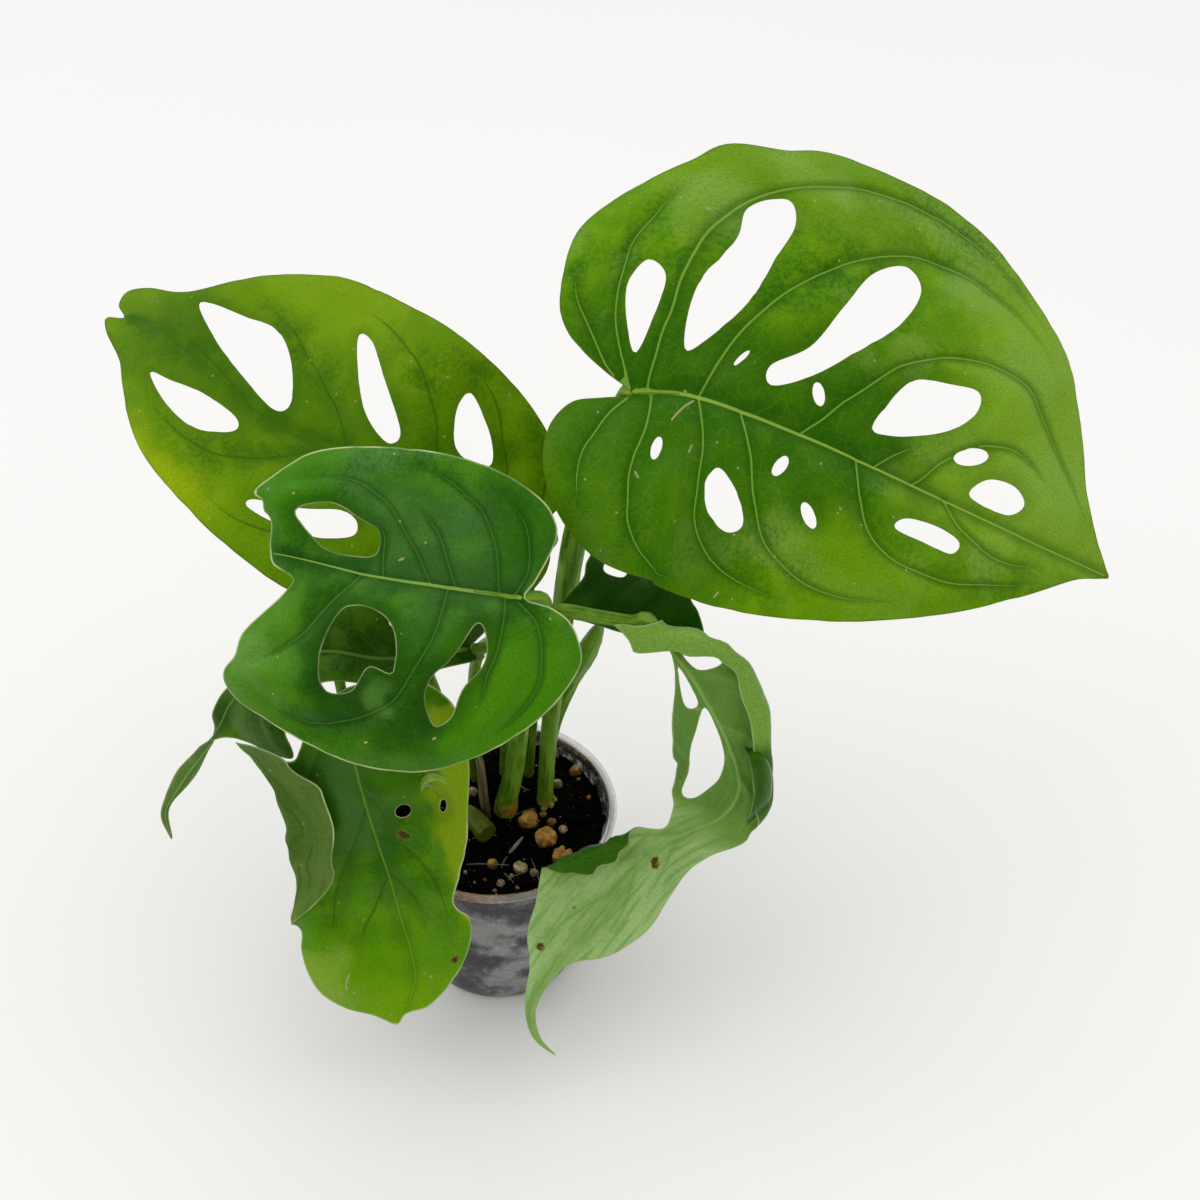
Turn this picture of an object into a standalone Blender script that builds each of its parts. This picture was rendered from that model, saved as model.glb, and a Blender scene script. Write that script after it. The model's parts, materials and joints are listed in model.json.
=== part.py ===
"""A young Swiss cheese plant, Monstera adansonii, in the clear tapered cup that it was raised in.

Origin at the middle of the cup's foot, +Z up, the viewer's side towards -Y. Lengths are in metres, and the
lists of points that shape leaves and stems are in millimetres and scaled by MM where they are used.

A leaf's blade is drawn flat, as a margin and holes in (s, w): s runs along the midrib from the foot of the
blade and w across it. bent() then lays the drawing on the midrib's line in space, with each half folded and
curled as its list of stations says.
"""

import math
import random

import bmesh
import bpy
import numpy as np
from mathutils import Matrix, Vector, noise
from mathutils.geometry import delaunay_2d_cdt

MM = 0.001
OBJECT_NAME = "monstera_adansonii"
SEED = 7
GAP = 0.3

# The cup
CUP_HEIGHT = 46.0
CUP_RIM_RADIUS = 26.4
CUP_FOOT_RADIUS = 18.6
CUP_WALL = 0.7
CUP_FLOOR = 0.9
CUP_FOOT_BEVEL = 1.0
CUP_LIP_WIDTH = 1.3
CUP_LIP_HEIGHT = 1.4
CUP_LIP_BEVEL = 0.4
CUP_STEPS = 48
DRAIN_RADIUS = 1.7
DRAIN_CIRCLE = 10.0
DRAIN_COUNT = 4
DRAIN_STEPS = 16

# The soil
SOIL_TOP = 42.6
SOIL_CLEAR = 0.4
SOIL_RELIEF = 0.45
SOIL_LUMP = 4.5
SOIL_SMALL_LUMP = 1.7
SOIL_DIP_FROM = 19.0
SOIL_DIP_SLOPE = 0.12
SOIL_RINGS = 9
SOIL_STEPS = 40
CRUMB_COUNT = 34
CRUMB_RADII = (0.7, 1.3)
CRUMB_REACH = 22.4
CRUMB_CLEAR = 1.2
CRUMB_RISE = 0.15
STEM_FOOT = 31.0
STEM_STEP = 6.0

# Blades
BLADE_THICKNESS = 0.75
MARGIN_STEP = 3.4
SHEET_STEP = 6.2
FOLD_ROWS = 4
FOLD_TIGHT_RADIUS = 5.0
SPINE_CLEAR = 0.6
SMALL_OVAL = 2.5
PETIOLE_CLEAR = 0.5
MERGE = 1e-6

# Each side's stations are (s, fold angle, straight width, bend radius, bend angle).
FLAT_HALF = [(0, 6, 3, 90, -16), (100, 6, 3, 90, -16)]
LEVEL = [(0, 0), (100, 0)]

LEAVES = {
    "right": {
        "rib": [(25, 10, 147), (37, 9, 147), (57, 5.5, 141.5), (80, 3, 132), (103, 2.5, 121),
                (118.5, 3.5, 113)],
        "face": (-0.1, -0.66, 0.75),
        "roll": LEVEL,
        "right": FLAT_HALF,
        "left": [(0, 10, 3, 90, -22), (95, 8, 3, 90, -22)],
        "calm": 3,
        "margin": [
            (0.5, 0.5), (-5, -3.5), (-10.5, -8), (-13.5, -13), (-14, -19), (-12, -29), (-5.5, -36.5),
            (0.5, -40.5), (6.5, -45), (10, -49.5), (15, -50.5), (20.5, -53), (33, -54), (44, -54),
            (56, -50.5), (66, -44), (76, -35.5), (82.5, -26), (89.5, -13), (95.5, -5.5), (101.2, 0),
            (93, 3.5), (82.5, 11), (72, 18), (60, 24.5), (48, 30), (33, 34), (18.5, 35), (1, 33), (-8, 27),
            (-13.5, 18), (-14.2, 9), (-10.5, 3), (-4.5, 1.5),
        ],
        "holes": [
            [(2, -24.5), (-1.5, -20), (-1.5, -14), (0.5, -7), (3, -12), (5, -21)],
            [(17, -40.5), (13, -37), (12.5, -30), (9.5, -21), (8.5, -13), (9.2, -7.7), (13, -12.5),
             (16.3, -20), (17.8, -28.5), (19, -36)],
            [(39.5, -37.5), (34, -33), (31, -24.5), (28, -15.5), (22.6, -9.5), (24, -6.3), (30, -10.5),
             (36.5, -18.5), (41.5, -26), (43.3, -34)],
            [(54.5, -20), (47.5, -17.5), (44.5, -11), (44, -6), (50, -7.5), (57.5, -12), (61.3, -17),
             (60.5, -21)],
            [(25.5, 21.5), (21, 19.5), (18.5, 15), (19.5, 11.5), (22, 12), (26, 15.5), (28, 19.5)],
            [(54.5, 8.8), (56, 6.2), (62, 5), (67.5, 6), (66.5, 8.8), (60.5, 9)],
            [(66, -3.2), (68.5, -7), (74, -8), (77.5, -5.8), (75.5, -2.8), (70, -2.2)],
        ],
        "ovals": [
            (5.8, 10.6, 1.1, 2.2, -32), (30.6, 6.8, 1.1, 2.3, 5), (38.7, 13.2, 1.2, 2.6, -46),
            (32.4, -8, 1.1, 2.2, -18), (63.6, -9.4, 3.6, 1.6, -28),
        ],
        "waves": [(20, -46, 12, 1.6), (46, -48, 11, -1.4), (70, -34, 11, 1.3), (28, 30, 11, -1.2),
                  (58, 20, 10, 1.2)],
    },
    "back_left": {
        "rib": [(8.1, 13.5, 112.6), (-18, 15.5, 122.6), (-39.5, 24, 125), (-55.9, 33.6, 128.4),
                (-73.6, 48.3, 131.7), (-80.9, 55.2, 132.1)],
        "face": (0.1, -0.6, 0.8),
        "roll": LEVEL,
        "right": [(0, 8, 3, 90, -18), (100, 6, 3, 90, -18)],
        "left": [(0, 8, 3, 90, -20), (100, 6, 3, 90, -20)],
        "calm": 3,
        "margin": [
            (0, 0.4), (-2.5, 5), (-1, 12), (5, 19.5), (12.5, 25), (20, 28.5), (30, 31.5), (40, 34),
            (55, 36.5), (67.5, 36), (77.5, 32), (86, 25), (93, 15), (98, 11), (105, 8.5), (109.4, 5),
            (108.5, 1.5), (104.5, 0), (108, -2.4), (104, -5), (95, -8), (86.5, -13.5), (75, -19.4),
            (61, -23.5), (48, -27), (38, -29), (28, -26), (18, -23), (8, -21), (0, -17), (-4, -10),
            (-4, -4),
        ],
        "holes": [
            [(91, 12), (82, 8), (70, 5), (59, 2.6), (57, 6), (63, 13), (71.5, 17), (81, 15)],
            [(87, -6), (78, -9), (69.5, -9.4), (63, -5.5), (65, -2.8), (74, -2.5), (82, -4.5)],
            [(52.5, 25), (47, 17.5), (40.5, 9.5), (33.5, 5), (31.8, 8), (39, 16.5), (47, 23.8)],
            [(21.5, 20.5), (23, 16), (20, 8.4), (13, 8), (15, 14)],
            [(52, -17.5), (51.3, -15.5), (43, -13.5), (36, -11), (32.5, -12), (32, -15), (37.5, -17.7),
             (46, -18.2)],
        ],
        "ovals": [(20, -15, 5, 2, -25)],
        "waves": [(30, 30, 11, 1.3), (60, 32, 11, -1.3), (85, 14, 9, 1), (50, -22, 11, 1.2),
                  (20, -26, 11, -1.2)],
    },
    "front_left": {
        "rib": [(8, -22, 124.5), (-4, -23, 127), (-18.5, -21, 127.5), (-31.5, -17, 127.5), (-37.5, -15, 127)],
        "face": (0, -0.72, 0.69),
        "roll": LEVEL,
        "right": [(0, 12, 2, 60, -30), (50, 10, 2, 60, -30)],
        "left": [(0, 10, 2, 50, -30), (50, 10, 2, 50, -30)],
        "calm": 3,
        "margin": [
            (0, 0), (-1.5, 3.5), (-3.8, 10.5), (-3, 14.5), (0.5, 18), (8.5, 21.5), (20, 23), (33, 22),
            (42, 19), (49, 13), (51.6, 10), (49.4, 8.8), (48.7, 7.1), (47, 5.6), (46.8, 0.5), (45.6, -2),
            (41.4, -3.6), (41.6, -5.4), (45, -10.5), (47.7, -15), (48.2, -19), (50, -22), (49.5, -24.5),
            (46, -27.6), (38, -30), (28, -32.8), (19.5, -33.5), (11, -32), (2, -27.2), (-5, -20.8),
            (-10, -13.5), (-11, -8), (-8.3, -3.2), (-4.5, -1),
        ],
        "holes": [
            [(42.7, 8), (40, 10), (36, 10.7), (30, 8.9), (27, 7.8), (26.7, 4), (31, 2.7), (36.5, 2.8),
             (40.5, 5.3)],
            [(30.2, -6.7), (25, -5.8), (21.2, -9), (20.4, -15.8), (24.4, -15.5), (26.6, -20.2), (30.6, -21),
             (32.2, -15)],
            [(8, -5.7), (6.3, -7), (5.8, -12), (8.8, -17.2), (9.9, -22), (12.4, -24), (14.6, -19.5),
             (13.8, -15.5), (10.8, -11.5)],
        ],
        "ovals": [],
        "waves": [(46, -20, 8, 1.8), (30, -27, 9, -1), (42, -8, 5, -1.2), (46, 8, 5, 1), (10, 14, 8, -0.8)],
    },
    "hanging": {
        "rib": [(-27, -19, 97.5), (-25.5, -21.5, 80.5), (-22.3, -25.4, 63.5), (-19.7, -28.8, 53.4),
                (-17.3, -32.6, 42.8), (-16.6, -37.2, 34.3), (-17.8, -43.1, 25.8)],
        "face": (0, -0.85, 0.5),
        "roll": LEVEL,
        "right": [(0, 8, 20, 1.6, 0), (3, 8, 19.5, 1.6, 90), (6, 8, 19, 1.6, 168), (12, 8, 17, 1.6, 172),
                  (20, 6, 15, 1.6, 176), (28, 5, 14.2, 1.6, 176), (38, 4, 16.3, 1.6, 176),
                  (49, 2, 19, 1.6, 160),
                  (53, 0, 20, 1.6, 0), (80, 0, 20, 1.6, 0)],
        "left": [(0, -4, 10, 7, 0), (12, -10, 11, 7, 30), (45, -10, 10, 7, 35), (60, -4, 8, 7, 0),
                 (80, -2, 8, 7, 0)],
        "calm": 10,
        "margin": [
            (0, 0), (3, 4), (8, 7.6), (12, 9.4), (14.4, 11.4), (12.2, 16), (8.2, 20.3), (6.6, 23),
            (8.4, 26.6), (14.5, 27.8), (20, 28.6), (28, 27.2), (33, 28), (38, 29), (43, 28), (46.5, 25.5),
            (50, 22), (54, 20), (60, 20.8), (67, 19.8), (72.5, 16.7), (75.7, 11), (76.4, 5), (77.8, 0),
            (75.2, -1.5), (73, -6), (68, -9.8), (61.5, -13.6), (56.5, -14.4), (54.6, -12.6), (52.4, -11.9),
            (47, -15), (40, -18.5), (30, -21), (20, -23), (12, -23), (6, -21.5), (1, -17.5), (-1.5, -12),
            (-1.5, -5),
        ],
        "holes": [],
        "ovals": [(30.5, -7, 1.6, 1.6, 0), (31, -15.2, 1.8, 0.7, 20), (26.5, 9.6, 4.2, 1.7, 10)],
        "waves": [(66, 12, 8, 1.5), (64, -9, 6, 1.2), (46, 8, 8, -1), (26, -4, 6, 0.8)],
    },
    "under": {
        "rib": [(-2, -19.6, 110), (-11.2, -19.8, 108.2), (-19.3, -19, 106.2), (-30.1, -15.9, 104.7),
                (-40.5, -14.6, 98.8), (-48.7, -15.1, 90.5), (-52.6, -16.1, 83.1), (-57.2, -16.8, 76.1),
                (-61.9, -17.8, 68.8), (-65.6, -19.5, 62.2), (-64.8, -21.2, 55.6)],
        "face": (0, -0.72, 0.69),
        "roll": [(0, 0), (58, 0), (67, -110), (76, -135), (120, -140)],
        "right": [(0, 5, 3, 30, -20), (120, 5, 3, 30, -20)],
        "left": [(0, 5, 3, 30, -20), (120, 5, 3, 30, -20)],
        "calm": 10,
        "margin": [
            (0, 0.2), (-4, 4), (-3, 9), (4, 12), (15, 12.6), (25, 10), (33, 6.4), (40, 4), (47, 2.4),
            (54, 2.5), (61.5, 2.4), (66, 1.7), (75, 2.1), (80, 1.7), (84, 1), (89, 0.7), (93.3, 0),
            (89, -0.7), (84, -1), (80, -1.7), (75, -2.1), (66, -1.7), (62, -2), (60, -3.6), (58, -7.5),
            (56.8, -12), (54.6, -16), (51, -14.6), (47.5, -12), (43, -8.8), (36, -7), (26, -5.5),
            (15, -4.5), (6, -3), (0, -2.4), (-2.5, -1.8),
        ],
        "holes": [],
        "ovals": [(12, 6.4, 4, 1.7, 10), (30, 3.4, 1.2, 1.2, 0)],
        "waves": [(50, -9, 6, 1.2), (10, 9, 8, -1)],
    },
    "behind": {
        "rib": [(13, -10.8, 113), (21, -11.4, 112.5), (30.4, -11.1, 109.7), (40.7, -10.6, 107.2)],
        "face": (0, -0.35, 0.93),
        "roll": LEVEL,
        "right": [(0, -50, 1, 3, 0), (40, -50, 1, 3, 0)],
        "left": [(0, 5, 3, 30, -20), (40, 5, 3, 30, -20)],
        "calm": 3,
        "margin": [
            (0, 0.4), (1.2, -2), (4, -6.5), (4.2, -10), (4.8, -13), (3.6, -17), (5, -22), (10, -25.4),
            (16, -24.5), (21, -19), (24.4, -12), (25.4, -6.8), (27, -4.4), (28.4, 0), (26, 2.4), (18, 2.8),
            (8, 2.6), (2, 1.6),
        ],
        "holes": [[(7.8, -8.8), (8.4, -12.5), (10.5, -16), (12.5, -13), (11.8, -8.6)]],
        "ovals": [(17.5, -15, 2, 4, 20)],
        "waves": [(14, -20, 7, -1), (22, -10, 6, 0.8)],
    },
    "twisted": {
        "rib": [(31.2, -15.1, 112.8), (35.2, -17.4, 108.4), (39.7, -19.1, 101.9), (46, -20.4, 89.5),
                (49.5, -21.4, 78.3), (46.6, -22.4, 70.2), (39.1, -23.5, 65.9), (32.3, -26.1, 62),
                (20.1, -34.4, 48.3), (13.3, -38.5, 38.2), (10, -41.2, 30.4), (11.1, -43.9, 24.1),
                (15.2, -45.5, 19.9)],
        "face": (0, -0.8, 0.6),
        "roll": LEVEL,
        "right": [(0, -10, 12, 30, 0), (50, -10, 12, 30, 0), (60, 0, 7, 1.6, 0), (63, 0, 4.5, 1.6, 20),
                  (66, 0, 4.6, 1.6, 130), (70, 0, 6.4, 1.6, 168), (75, 0, 9.2, 1.6, 168),
                  (79, 0, 11, 1.6, 160),
                  (82.5, 0, 13.5, 1.6, 40), (85, 0, 14, 1.6, 0), (140, 0, 14, 1.6, 0)],
        "left": [(-8, 10, 0.3, 1.6, 172), (0, 10, 0.5, 1.6, 172), (5.5, 10, 4.8, 1.6, 172),
                 (10, 8, 7.2, 1.6, 172), (15, 6, 8.5, 1.6, 172), (20, 5, 8.5, 1.6, 172),
                 (32, 5, 5.5, 1.6, 170), (40, 5, 4.5, 1.6, 160), (48, 0, 4.5, 1.6, 100),
                 (53, 0, 8, 1.6, 0), (140, 0, 10, 1.6, 0)],
        "calm": 20,
        "margin": [
            (0, 0.4), (-0.3, -1.5), (-2.7, -7.3), (-4.6, -9.2), (-5.6, -10.8), (-4, -10.6), (-1.2, -10.7),
            (1.3, -11.8), (4.1, -12.8), (6.4, -13), (9, -13), (11.7, -13.2), (15.9, -15), (20.5, -16),
            (25, -14.4), (29, -12.5), (33, -12.5), (38, -11.7), (42, -10.6), (45, -8.6), (48, -6.8),
            (52, -7.5), (59, -7.1), (68, -9), (76, -10.2), (83, -9.2), (89, -6.9), (94.6, -2.4), (99, -1.2),
            (108, -0.9), (115, -0.7), (121.3, 0), (115, 0.8), (108, 1.6), (99, 4.4), (93, 8.8), (87, 11.4),
            (82, 14.5), (79, 16.8), (76, 17.8), (73, 16), (70, 13.4), (67, 10.5), (64.5, 6.6), (62, 3.6),
            (59.5, 2.8), (55, 6.2), (51.5, 10.3), (45, 13), (37, 12.5), (27, 10.2), (18.9, 7.5), (12, 3.6),
            (6.3, 0.8), (3, 0.8),
        ],
        "holes": [
            [(8.8, 1), (12.5, 1), (16.2, 1.2), (18.2, 1.8), (18.4, 3.2), (16.8, 3.9), (13.7, 3.2), (10.6, 2)],
            [(19.2, 0.9), (26, 0.9), (32.4, 1.7), (39, 3.8), (45, 5.6), (50.4, 6.5), (51, 8.3), (48, 10),
             (41, 10.6), (29.4, 7.3), (23.9, 4.5)],
            [(7, -1), (11.4, -1.8), (12.6, -6), (9.5, -6), (6.4, -2.6)],
        ],
        "ovals": [],
        "waves": [],
    },
}

# Points of each stem, as x, y, z and radius. A petiole's last stretch is worked out from its blade.
PETIOLES = {
    "right": [(10.3, 3.4, STEM_FOOT, 1.4), (10.3, 3.4, 43, 1.7), (10.9, 6.5, 60, 1.8), (12.4, 7.8, 80, 2.1),
              (15, 8.4, 109, 2.45), (18.6, 9.6, 130, 2)],
    "back_left": [(4.5, 18.5, STEM_FOOT, 1.4), (4.5, 18.5, 43, 1.6), (4, 20, 75, 1.5), (7, 20, 98, 1.4)],
    "front_left": [(1.4, 1, STEM_FOOT, 1.9), (1.4, 1, 43, 2.2), (3.2, 0.6, 53, 2.2), (5, -0.6, 68, 1.9),
                   (7, -8, 90, 1.6), (10, -15.5, 108, 1.5)],
    "hanging": [(-11, 6, STEM_FOOT, 1.3), (-11, 6, 43, 1.5), (-13, 5, 75, 1.3), (-18, -2, 95, 1.2),
                (-24.5, -9.5, 103.5, 1.2)],
    "under": [(-6, 10.5, STEM_FOOT, 1.2), (-6, 10.5, 43, 1.4), (-5, 6, 75, 1.2), (-2, -6, 97, 1.2),
              (1.6, -13, 106, 1.2)],
    "behind": [(6, 12.5, STEM_FOOT, 1.2), (6, 12.5, 43, 1.3), (8, 9, 75, 1.2), (10, -1, 96, 1.2)],
    "twisted": [(1, 12, STEM_FOOT, 1.2), (1, 12, 43, 1.4), (2, 8, 75, 1.3), (3.5, -4, 98, 1.3),
                (7.5, -12, 110, 1.3), (13.1, -14.5, 115.4, 1.35), (21.1, -15.6, 115.2, 1.3),
                (27, -14.6, 113.6, 1.2)],
}
# How far behind and below its blade's foot a petiole passes, and its end radius.
JOINTS = {
    "right": (4, 3.4, 1.3), "back_left": (4, 3.2, 1.1), "front_left": (4, 3.4, 1.1), "hanging": (4, 3.2, 0.9),
    "under": (4, 3, 0.9), "behind": (1.5, 4, 0.9), "twisted": (3, 2.4, 0.9),
}
OTHER_STEMS = {
    "rolled_young_leaf": [(10.2, 8.2, STEM_FOOT, 1), (10.2, 8.2, 43, 1.1), (11.5, 11.8, 58, 1.5),
                          (14.8, 13.4, 71, 2.1), (18, 11, 81, 2.3), (20.4, 9, 89, 1.6), (21.3, 8.2, 93, 0.5)],
    "withered_petiole": [(-2.2, -1.4, STEM_FOOT + 4, 0.7), (-2.2, -1.4, 43, 0.8), (-2.9, -0.4, 50, 0.95),
                         (-3.4, 0.8, 57, 0.8), (-4.8, 2.6, 62.5, 0.5)],
    "cut_petiole": [(-11.5, 0.6, 36, 2), (-8.8, -0.6, 42.6, 2.2), (-5.4, -4, 46, 2.3), (-1.6, -8.6, 46, 2.3)],
}

# Granules of baked clay and pumice: x, y and radius
GRAIN_UNEVENNESS = 0.16
GRAIN_RISE = 0.3
CLAY_GRANULES = [(7, -2, 2.2), (11, -6.9, 2.4), (15, -11.8, 2.2), (16.8, 13.9, 1.4), (12, -1.9, 1),
                 (0, -14.4, 1.1)]
PALE_GRANULES = [(11.2, 18.8, 1.5), (12.9, 9.4, 1.1), (14.7, -4, 1), (6.1, -15.3, 1.5), (8.9, -16.2, 0.9),
                 (-6.1, 5.7, 1.2), (2.1, -19.4, 0.9)]


def clear_scene():
    for thing in list(bpy.data.objects):
        bpy.data.objects.remove(thing, do_unlink=True)
    for old in list(bpy.data.collections):
        bpy.data.collections.remove(old)


def new_collection(name):
    made = bpy.data.collections.new(name)
    bpy.context.scene.collection.children.link(made)
    return made


def material(name, colour, roughness, alpha=1.0):
    made = bpy.data.materials.new(name)
    made.use_nodes = True
    shader = made.node_tree.nodes["Principled BSDF"]
    shader.inputs["Base Color"].default_value = (*colour, 1)
    shader.inputs["Roughness"].default_value = roughness
    shader.inputs["Metallic"].default_value = 0
    shader.inputs["Alpha"].default_value = alpha
    return made


def place(name, mesh, collection, finish=None):
    made = bpy.data.objects.new(name, mesh)
    collection.objects.link(made)
    if finish:
        mesh.materials.append(finish)
        mesh.shade_smooth()
        mesh.set_sharp_from_angle(angle=math.radians(50))
    return made


def evaluated_mesh(source):
    """The object's mesh with its modifiers applied, in world space."""
    bpy.context.view_layer.update()
    graph = bpy.context.evaluated_depsgraph_get()
    made = bpy.data.meshes.new_from_object(source.evaluated_get(graph))
    made.transform(source.matrix_world)
    return made


def bake(source):
    """Replaces the object's mesh by its evaluated one, and drops the modifiers."""
    made = evaluated_mesh(source)
    source.modifiers.clear()
    source.data = made


def triangulate(mesh):
    shape = bmesh.new()
    shape.from_mesh(mesh)
    bmesh.ops.triangulate(shape, faces=shape.faces)
    shape.to_mesh(mesh)
    shape.free()


def smooth_line(points, per_span, closed=False):
    """A Catmull-Rom line through the points, with per_span steps between two of them."""
    points = np.asarray(points, float)
    if closed:
        points = np.vstack([points[-1:], points, points[:2]])
    else:
        points = np.vstack([2 * points[0] - points[1], points, 2 * points[-1] - points[-2]])
    u = np.arange(per_span)[:, None] / per_span
    spans = []
    for a, b, c, d in zip(points, points[1:], points[2:], points[3:]):
        bend = (2 * a - 5 * b + 4 * c - d) * u**2 + (3 * b - a - 3 * c + d) * u**3
        spans.append(0.5 * (2 * b + (c - a) * u + bend))
    line = np.vstack(spans)
    return line if closed else np.vstack([line, points[-2]])


def even_line(points, step, closed=False):
    """The same line with its points about one step apart."""
    line = smooth_line(points, 12, closed)
    if closed:
        line = np.vstack([line, line[:1]])
    run = np.concatenate([[0], np.cumsum(np.linalg.norm(np.diff(line, axis=0), axis=1))])
    count = max(6, round(run[-1] / step))
    places = np.linspace(0, run[-1], count + 1)
    even = np.stack([np.interp(places, run, line[:, i]) for i in range(line.shape[1])], axis=1)
    return even[:-1] if closed else even


def eased(stations, s):
    """The stations' values at s, easing in and out between two stations."""
    stations = np.array(stations, float)
    at = np.clip(np.searchsorted(stations[:, 0], s) - 1, 0, len(stations) - 2)
    u = np.clip((s - stations[at, 0]) / (stations[at + 1, 0] - stations[at, 0]), 0, 1)
    u = (3 - 2 * u) * u * u
    return stations[at, 1:] + (stations[at + 1, 1:] - stations[at, 1:]) * u[..., None]


def unit(vectors):
    return vectors / np.linalg.norm(vectors, axis=-1, keepdims=True)


class Midrib:
    """The midrib's line in space, measured from the foot of the blade."""

    def __init__(self, points, calm):
        self.line = smooth_line(points, 24)
        steps = np.linalg.norm(np.diff(self.line, axis=0), axis=1)
        self.run = np.concatenate([[0], np.cumsum(steps)])
        self.length = self.run[-1]
        self.way = unit(np.gradient(self.line, self.run, axis=0))
        self.calm = calm

    def point(self, s):
        """The point at s, going straight on past either end."""
        on = np.clip(s, 0, self.length)
        point = np.stack([np.interp(on, self.run, self.line[:, i]) for i in range(3)], -1)
        way = np.stack([np.interp(on, self.run, self.way[:, i]) for i in range(3)], -1)
        return point + (s - on)[..., None] * unit(way)

    def heading(self, s):
        """The direction there, evened out over a stretch so that the halves of a bent blade don't cross."""
        on = np.clip(s, 0, self.length)
        return unit(self.point(on + self.calm) - self.point(on - self.calm))


def half_section(leaf, s, w):
    """How far across and how high a point of the blade lies: straight, then bent, then straight again."""
    sides = np.where((w > 0)[..., None], eased(leaf["right"], s), eased(leaf["left"], s))
    fold, straight, radius, turn = np.moveaxis(sides, -1, 0)
    fold, turn = np.radians(fold), np.radians(turn)
    bend = np.where(turn < 0, -1, 1) / radius
    reach = radius * np.abs(turn)
    first = np.minimum(np.abs(w), straight)
    middle = np.clip(np.abs(w) - straight, 0, reach)
    last = np.maximum(np.abs(w) - straight - reach, 0)
    across = first * np.cos(fold) + last * np.cos(fold + turn)
    across += (np.sin(fold + bend * middle) - np.sin(fold)) / bend
    high = first * np.sin(fold) + last * np.sin(fold + turn)
    high += (np.cos(fold) - np.cos(fold + bend * middle)) / bend
    for wave_s, wave_w, size, height in leaf["waves"]:
        high = high + height * np.exp(-((s - wave_s) ** 2 + (w - wave_w) ** 2) / size**2)
    return np.sign(w) * across, high


def frame_at(leaf, rib, s):
    """The blade's sideways and upward directions at s."""
    heading = rib.heading(s)
    face = np.array(leaf["face"], float)
    up = unit(face - (heading @ face)[..., None] * heading)
    side = np.cross(heading, up)
    roll = np.radians(eased(leaf["roll"], s))
    return side * np.cos(roll) + up * np.sin(roll), up * np.cos(roll) - side * np.sin(roll)


def bent(leaf, flat):
    """Points of the flat drawing laid on the leaf's midrib in space."""
    rib = Midrib(leaf["rib"], leaf["calm"])
    s, w = flat[:, 0], flat[:, 1]
    side, up = frame_at(leaf, rib, s)
    across, high = half_section(leaf, s, w)
    return rib.point(s) + across[:, None] * side + high[:, None] * up


def oval(s, w, half_length, half_width, turn):
    angles = np.linspace(0, 2 * math.pi, 12, endpoint=False)
    x, y = half_length * np.cos(angles), half_width * np.sin(angles)
    c, d = math.cos(math.radians(turn)), math.sin(math.radians(turn))
    return np.stack([s + x * c - y * d, w + x * d + y * c], axis=1)


def inside(points, ring):
    """Which points lie inside the ring."""
    found = np.zeros(len(points), bool)
    x, y = points[:, 0], points[:, 1]
    for (x0, y0), (x1, y1) in zip(ring, np.roll(ring, -1, axis=0)):
        if y0 == y1:
            continue
        crosses = (y0 > y) != (y1 > y)
        found ^= crosses & (x < (x1 - x0) * (y - y0) / (y1 - y0) + x0)
    return found


def fold_points(leaf, low, high):
    """Rows of points along each sharp fold, and a mark of where the folds run."""
    rows = []
    for sign, side in ((1, "right"), (-1, "left")):
        for s in np.arange(low, high, MARGIN_STEP):
            straight, radius, turn = eased(leaf[side], np.array([s]))[0, 1:]
            reach = radius * abs(math.radians(turn))
            if radius < FOLD_TIGHT_RADIUS and reach > 1:
                rows += [(s, sign * (straight + reach * i / (FOLD_ROWS - 1))) for i in range(FOLD_ROWS)]
    return np.array(rows).reshape(-1, 2)


def sheet_points(leaf, margin, holes):
    """Inner points of the flat drawing: fold rows, then an even grid that keeps clear of all the others."""
    low, high = margin.min(axis=0) - SHEET_STEP, margin.max(axis=0) + SHEET_STEP
    folds = fold_points(leaf, low[0], high[0])
    rise = SHEET_STEP * math.sqrt(3) / 2
    grid = [
        (s + (row % 2) * SHEET_STEP / 2, row * rise)
        for row in range(math.floor(low[1] / rise), math.ceil(high[1] / rise) + 1)
        if row != 0
        for s in np.arange(low[0], high[0], SHEET_STEP)
    ]
    rings = np.vstack([margin, *holes])
    kept = []
    for found, clear in ((folds, 0.3 * MARGIN_STEP), (np.array(grid), 0.5 * SHEET_STEP)):
        others = np.vstack([rings, *kept])
        for point in found:
            if np.linalg.norm(others - point, axis=1).min() > clear:
                kept.append(point[None])
    points = np.vstack(kept)
    keep = inside(points, margin)
    for hole in holes:
        keep &= ~inside(points, hole)
    return points[keep]


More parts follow.
